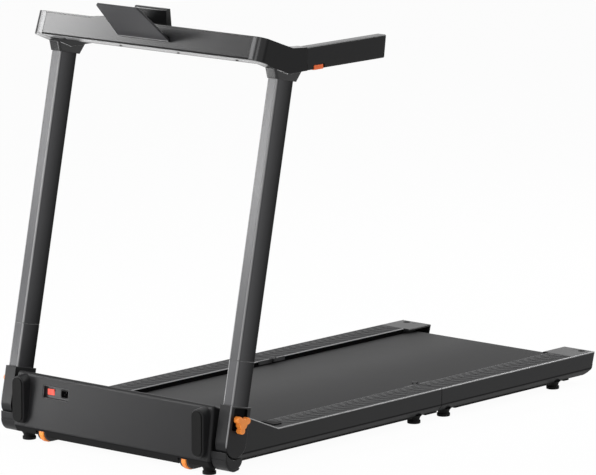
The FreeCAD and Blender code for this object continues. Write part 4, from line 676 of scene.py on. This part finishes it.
# Screws: domed heads with a cross recess under the pan, the deck and the console
screwSizes = {"head": 4.2 * mm, "dome": 3.0 * mm, "rise": 1.7 * mm, "domeRise": 1.36 * mm, "cross": 2.2 * mm,
              "root": 0.77 * mm, "deep": 0.9 * mm, "taper": 0.6, "slotReach": 0.3, "sides": 24,
              "seat": 20 * mm, "panX": (-280, -120, 120, 280), "panY": (-640, -600), "railX": 290,
              "frontY": (-420, -160, 20), "rearY": (190, 420, 640), "consoleX": (-270, -90, 90, 270),
              "consoleInset": 24 * mm}


def screwMesh():
    # a star of crosswise slots in the middle of a domed disc, seat at z = 0, head up
    size = screwSizes
    shape = bmesh.new()
    outer, rim, mouth, pit = [], [], [], []
    for turn in roundTurn(size["sides"]):
        cosine, sine = math.cos(turn), math.sin(turn)
        outer.append(shape.verts.new((size["head"] * cosine, size["head"] * sine, 0.0)))
        rim.append(shape.verts.new((size["dome"] * cosine, size["dome"] * sine, size["domeRise"])))
        length = size["cross"] if min(abs(cosine), abs(sine)) < size["slotReach"] else size["root"]
        length /= max(abs(cosine), abs(sine))
        mouth.append(shape.verts.new((length * cosine, length * sine, size["rise"])))
        length *= size["taper"]
        pit.append(shape.verts.new((length * cosine, length * sine, size["rise"] - size["deep"])))
    for ring, further in ((outer, rim), (rim, mouth), (mouth, pit)):
        bridge(shape, ring, further)
    shape.faces.new(pit)
    shape.faces.new(tuple(reversed(outer)))
    return meshFrom("screwHead", shape)


def screwTree():
    tree, given = openTree("screwHeads", {"Geometry": "Geometry", "Screw": "Object", "Tilt": "Float",
                                          "Seed": "Int", "Material": "Material"})
    head = addNode(tree, "GeometryNodeObjectInfo", {}, {"Object": given["Screw"]})
    turn = addNode(tree, "FunctionNodeRandomValue", {"data_type": "FLOAT", 3: math.pi / 2},
                   {"Seed": given["Seed"]})
    spin = addNode(tree, "ShaderNodeCombineXYZ", {}, {"X": given["Tilt"], "Z": turn.outputs[1]})
    spread = addNode(tree, "GeometryNodeInstanceOnPoints", {},
                     {"Points": given["Geometry"], "Instance": head.outputs["Geometry"],
                      "Rotation": spin.outputs[0]})
    closeTree(tree, spread.outputs[0], given["Material"])
    return tree


def railScrews(places):
    return [(side * screwSizes["railX"] * mm, y * mm, screwSizes["seat"]) for side in (-1, 1) for y in places]


panScrews = [(x * mm, y * mm, screwSizes["seat"]) for x in screwSizes["panX"] for y in screwSizes["panY"]]
underConsole = onConsole(screwSizes["consoleInset"], -console["tall"])
consoleScrews = [(x * mm, *underConsole) for x in screwSizes["consoleX"]]
# places and tilt on each body: the heads point down, on the console square to its underside
screwSets = {"base": (panScrews + railScrews(screwSizes["frontY"]), math.pi),
             "rear_deck": (railScrews(screwSizes["rearY"]), math.pi),
             "handle": (consoleScrews, math.pi - console["tilt"])}
screwHead = bpy.data.objects.new("screwHead", screwMesh())
scene.collection.objects.link(screwHead)
screwHeads = screwTree()
for seed, (body, (places, tilt)) in enumerate(screwSets.items()):
    inputs = {"Screw": screwHead, "Tilt": tilt, "Seed": seed, "Material": materials["screw"]}
    mesh = grown("screws", screwHeads, inputs, places)
    screws = joined(body + "Screws", [mesh], materials["screw"])
    settle(screws, body)
    print("screws on", body, len(screws.data.polygons), "faces")
bpy.data.objects.remove(screwHead)

# Plugs on the rear end caps: a smooth one over each screw hole, and a rubber one beside it
plugSizes = {"holePlugs": {"radius": 5.4 * mm, "rise": 0.2 * mm, "x": 259 * mm, "y": 705 * mm},
             "landingPlugs": {"radius": 9.5 * mm, "rise": 0.9 * mm, "x": 282 * mm, "y": 703 * mm},
             "sides": 28, "rings": (1.0, 0.86, 0.5)}


def capPlugs(name):
    size = plugSizes[name]
    shape = bmesh.new()
    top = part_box("rear_end_cap_left")[1].z
    for side in (-1, 1):
        rings = []
        for share in plugSizes["rings"]:
            radius = size["radius"] * share
            lift = size["rise"] * math.sqrt(1 - share * share)
            rings.append([shape.verts.new((side * size["x"] + radius * math.cos(turn),
                                           size["y"] + radius * math.sin(turn), top + lift))
                          for turn in roundTurn(plugSizes["sides"])])
        for ring, within in zip(rings, rings[1:]):
            bridge(shape, ring, within)
        shape.faces.new(rings[-1])
        shape.faces.new(tuple(reversed(rings[0])))
    return meshFrom(name, shape)


for name, slot in (("holePlugs", "cover_plastic"), ("landingPlugs", "pad_rubber")):
    settle(pieceFrom(name, capPlugs(name), materials[slot]), "rear_deck")

# Sills: flat rubber beads under the side covers, broken at the feet, and a lip under the hood's front
sillSizes = {"inner": 291 * mm, "outer": 300 * mm, "low": 16.6 * mm, "high": 20.3 * mm, "ease": 1.0 * mm,
             "base": ((-606, 28), (76, 120)), "rear_deck": ((187, 561), (609, 630)),
             "lipFront": -695.5 * mm, "lipRear": -689 * mm, "lipLow": 15.9 * mm, "lipHalf": 207 * mm}


def sills(body):
    size = sillSizes
    low, high, ease = size["low"], size["high"], size["ease"]
    shape = bmesh.new()
    for first, last in size[body]:
        start, end = first * mm, last * mm
        outline = [(start, high), (start + ease, low), (end - ease, low), (end, high)]
        for side in (-1, 1):
            crossBar(shape, outline, side * size["inner"], side * size["outer"])
    if body == "base":
        front, rear, low = size["lipFront"], size["lipRear"], size["lipLow"]
        outline = [(front, high), (front, low + ease), (front + ease, low), (rear, low), (rear, high)]
        crossBar(shape, outline, -size["lipHalf"], size["lipHalf"])
    return meshFrom(body + "Sills", shape)


for body in ("base", "rear_deck"):
    settle(pieceFrom(body + "Sills", sills(body), materials["pad_rubber"]), body)

# Heels: rounded nylon toes over the lower front of the base caps
heelSizes = {"inner": 312 * mm, "outer": 355.5 * mm, "steps": 8, "front": -699.3 * mm, "low": 13 * mm,
             "bend": 30 * mm, "rear": -652 * mm, "ease": 4 * mm, "rise": 15 * mm, "top": 19 * mm}


def baseHeels():
    size = heelSizes
    middleY, middleZ = size["front"] + size["bend"], size["low"] + size["bend"]
    turns = [math.radians(90) * i / size["steps"] for i in range(size["steps"] + 1)]
    outline = [(middleY - size["bend"] * math.cos(turn), middleZ - size["bend"] * math.sin(turn))
               for turn in turns]
    outline += [(size["rear"] - size["ease"], size["rise"]), (size["rear"], size["top"])]
    shape = bmesh.new()
    for side in (-1, 1):
        crossBar(shape, outline, side * size["inner"], side * size["outer"])
    return meshFrom("baseHeels", shape)


settle(pieceFrom("baseHeels", baseHeels(), materials["black_plastic"]), "base")
print("deck trim: plugs, sills and heels")

# Gasket: a dark rubber bead let into the lower front edge of the console, put there as painted shade for the
# dark line along that edge
shadeBeadSizes = {"low": 1.2 * mm, "tall": 3.6 * mm, "proud": 0.5 * mm, "sink": 0.6 * mm, "ease": 0.4 * mm}


def consoleGasket():
    size = shadeBeadSizes
    sink, front, ease = size["sink"], -size["proud"], size["ease"]
    bottom = -console["tall"] + size["low"]
    top = bottom + size["tall"]
    outline = [(sink, bottom), (sink, top), (front + ease, top), (front, top - ease), (front, bottom + ease),
               (front + ease, bottom)]
    shape = bmesh.new()
    crossBar(shape, [onConsole(*corner) for corner in outline], -console["half"], console["half"])
    return meshFrom("consoleGasket", shape)


settle(pieceFrom("consoleGasket", consoleGasket(), materials["pad_rubber"]), "handle")

# Signs on the keys: start, faster and slower, raised ink
signSizes = {"arm": 5.2 * mm, "bar": 1.5 * mm, "rise": 0.25 * mm, "keyRise": 2.5 * mm, "inset": 66 * mm,
             "triangle": ((-0.6, -0.9), (0.9, 0.0), (-0.6, 0.9)),
             "keys": {"start_button": (-100 * mm, "start"), "faster_button": (-136 * mm, "plus"),
                      "slower_button": (-172 * mm, "minus")}}


def signOutline(kind):
    arm, half = signSizes["arm"], signSizes["bar"] / 2
    if kind == "minus":
        return [(-arm, -half), (arm, -half), (arm, half), (-arm, half)]
    if kind == "plus":
        return [(-arm, -half), (-half, -half), (-half, -arm), (half, -arm), (half, -half), (arm, -half),
                (arm, half), (half, half), (half, arm), (-half, arm), (-half, half), (-arm, half)]
    return [(u * arm, v * arm) for u, v in signSizes["triangle"]]


def keySign(name, x, kind):
    # the walker reads the keys from behind, so the sign's right is -X
    shape = bmesh.new()
    levels = (signSizes["keyRise"] - signSizes["rise"], signSizes["keyRise"] + signSizes["rise"])
    outline = signOutline(kind)
    rings = [[shape.verts.new((x - u, *onConsole(signSizes["inset"] - v, level))) for u, v in outline]
             for level in levels]
    prism(shape, *rings)
    return meshFrom(name, shape)


for key, (x, kind) in signSizes["keys"].items():
    name = kind + "Sign"
    settle(pieceFrom(name, keySign(name, x, kind), materials["ink"]), key)

# Light bars of the display: four unlit numerals of seven bars, let into the window, and a colon
barSizes = {"wide": 9 * mm, "tall": 15 * mm, "bar": 1.8 * mm, "gap": 0.35 * mm, "numerals": 4,
            "pitch": 17 * mm, "lean": math.radians(84), "proud": 0.12 * mm, "sink": 0.3 * mm,
            "dot": 1.1 * mm, "dotSides": 8, "plate": 1.5 * mm}


def barOutlines():
    # the bars in the plane of the window, from its middle
    size = barSizes
    half, rise, thick, gap = size["wide"] / 2, size["tall"] / 2, size["bar"] / 2, size["gap"]
    level = [(-half + gap, 0.0), (-half + thick + gap, thick), (half - thick - gap, thick), (half - gap, 0.0),
             (half - thick - gap, -thick), (-half + thick + gap, -thick)]
    upright = [(0.0, gap), (thick, thick + gap), (thick, rise - thick - gap), (0.0, rise - gap),
               (-thick, rise - thick - gap), (-thick, thick + gap)]
    bars = [[(u, v + height) for u, v in level] for height in (-rise, 0.0, rise)]
    bars += [[(u + side, v + height) for u, v in upright]
             for side in (-half, half) for height in (-rise, 0.0)]
    shifts = [(place - (size["numerals"] - 1) / 2) * size["pitch"] for place in range(size["numerals"])]
    outlines = [[(u + shift, v) for u, v in bar] for shift in shifts for bar in bars]
    for height in (-rise / 2, rise / 2):
        outlines.append([(size["dot"] * math.cos(turn), height + size["dot"] * math.sin(turn))
                         for turn in roundTurn(size["dotSides"])])
    return outlines


def displayBars():
    size = barSizes
    low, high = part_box("display_lens")
    down = Vector((0.0, math.cos(size["lean"]), -math.sin(size["lean"])))
    out = Vector((0.0, math.sin(size["lean"]), math.cos(size["lean"])))
    middle = Vector((0.0, (low.y + high.y) / 2, (low.z + high.z) / 2)) + out * size["plate"] / 2
    shape = bmesh.new()
    for outline in barOutlines():
        rings = [[shape.verts.new(middle + Vector((-u, 0, 0)) - down * v + out * lift) for u, v in outline]
                 for lift in (-size["sink"], size["proud"])]
        prism(shape, *rings)
    return meshFrom("displayBars", shape)


settle(pieceFrom("displayBars", displayBars(), materials["segment"]), "handle")
print("console trim: gasket, signs and display bars")

# Studio: pale floor, soft lamps, camera at the photograph's angle
studio = {
    "place": (8.2493, -9.5070, 2.6873), "look": (-0.64664, 0.74196, -0.17705), "lens": 321.9, "sensor": 36.0,
    "clip": 200.0, "worldLight": 0.3, "white": "#ffffff", "paper": "#f4f4f4", "floorSize": 60.0,
    "floorGlow": 0.96,
    # name: place, aim, width, height, power
    "lamps": {
        "postSoftbox": ((-1.5, -2.55, 1.15), (0, -0.5, 0.75), 1.2, 0.5, 31.0),
        "consoleSoftbox": ((-2.58, -2.19, 2.07), (-0.2, -0.55, 0.95), 1.05, 0.66, 40.0),
        "consoleFade": ((-2.0, -2.6, 2.07), (0.0, -0.57, 0.97), 0.3, 0.5, 0.5),
        "hoodPanel": ((-1.05, -1.5, 0.13), (-0.2, -0.7, 0.08), 0.4, 0.22, 4.8),
        "frontPanel": ((0.4, -3.5, 1.5), (0.2, -0.6, 0.6), 1.5, 1.9, 32.0),
        "overhead": ((0.0, 0.2, 3.2), (0, 0, 0), 3.0, 3.0, 24.0),
        "backBank": ((1.0, 3.0, 2.3), (0.2, 0.1, 0.1), 2.6, 0.5, 70.0),
    },
}


def facing(direction):
    # the turn of a camera or lamp that looks along a direction
    return Vector(direction).to_track_quat("-Z", "Y").to_euler()


eye = bpy.data.objects.new("camera", bpy.data.cameras.new("camera"))
scene.collection.objects.link(eye)
eye.location = studio["place"]
eye.rotation_euler = facing(studio["look"])
eye.data.lens = studio["lens"]
eye.data.sensor_width = studio["sensor"]
eye.data.clip_end = studio["clip"]
scene.camera = eye
scene.view_settings.view_transform = "Standard"

for name, (spot, aim, wide, tall, power) in studio["lamps"].items():
    lamp = bpy.data.lights.new(name, "AREA")
    lamp.shape = "RECTANGLE"
    lamp.size, lamp.size_y, lamp.energy = wide, tall, power
    hung = bpy.data.objects.new(name, lamp)
    hung.location = spot
    hung.rotation_euler = facing(Vector(aim) - Vector(spot))
    scene.collection.objects.link(hung)


def seenRays(tree):
    # 1 for the rays that show the backdrop: straight, mirrored or through glass
    rays = addNode(tree, "ShaderNodeLightPath").outputs
    seen = addNode(tree, "ShaderNodeMath", {"operation": "ADD"},
                   {0: rays["Is Camera Ray"], 1: rays["Is Glossy Ray"]})
    return addNode(tree, "ShaderNodeMath", {"operation": "ADD", "use_clamp": True},
                   {0: seen.outputs[0], 1: rays["Is Transmission Ray"]})


backdrop = bpy.data.worlds.new("studio")
scene.world = backdrop
backdrop.use_nodes = True
tree = backdrop.node_tree
tree.nodes.clear()
seen = seenRays(tree)
soft = addNode(tree, "ShaderNodeBackground",
               {"Color": linear(studio["white"]), "Strength": studio["worldLight"]})
white = addNode(tree, "ShaderNodeBackground", {"Color": linear(studio["white"]), "Strength": 1.0})
mixed = addNode(tree, "ShaderNodeMixShader", {},
                {0: seen.outputs[0], 1: soft.outputs[0], 2: white.outputs[0]})
addNode(tree, "ShaderNodeOutputWorld", {}, {"Surface": mixed.outputs[0]})

# the floor glows almost white to those rays, and what is left of it takes the object's shadow
floorMesh = bpy.data.meshes.new("studioFloor")
reach = studio["floorSize"] / 2
floorCorners = [(-reach, -reach, 0), (reach, -reach, 0), (reach, reach, 0), (-reach, reach, 0)]
floorMesh.from_pydata(floorCorners, [], [(0, 1, 2, 3)])
paper, tree = blankMaterial("paperSweep")
seen = seenRays(tree)
share = addNode(tree, "ShaderNodeMath", {"operation": "MULTIPLY", 1: studio["floorGlow"]},
                {0: seen.outputs[0]})
matt = addNode(tree, "ShaderNodeBsdfDiffuse", {"Color": linear(studio["paper"])})
glow = addNode(tree, "ShaderNodeEmission", {"Color": linear(studio["white"]), "Strength": 1.0})
mixed = addNode(tree, "ShaderNodeMixShader", {},
                {0: share.outputs[0], 1: matt.outputs[0], 2: glow.outputs[0]})
addNode(tree, "ShaderNodeOutputMaterial", {}, {"Surface": mixed.outputs[0]})
floor = pieceFrom("studioFloor", floorMesh, paper)
print("studio: camera, lamps and floor set")
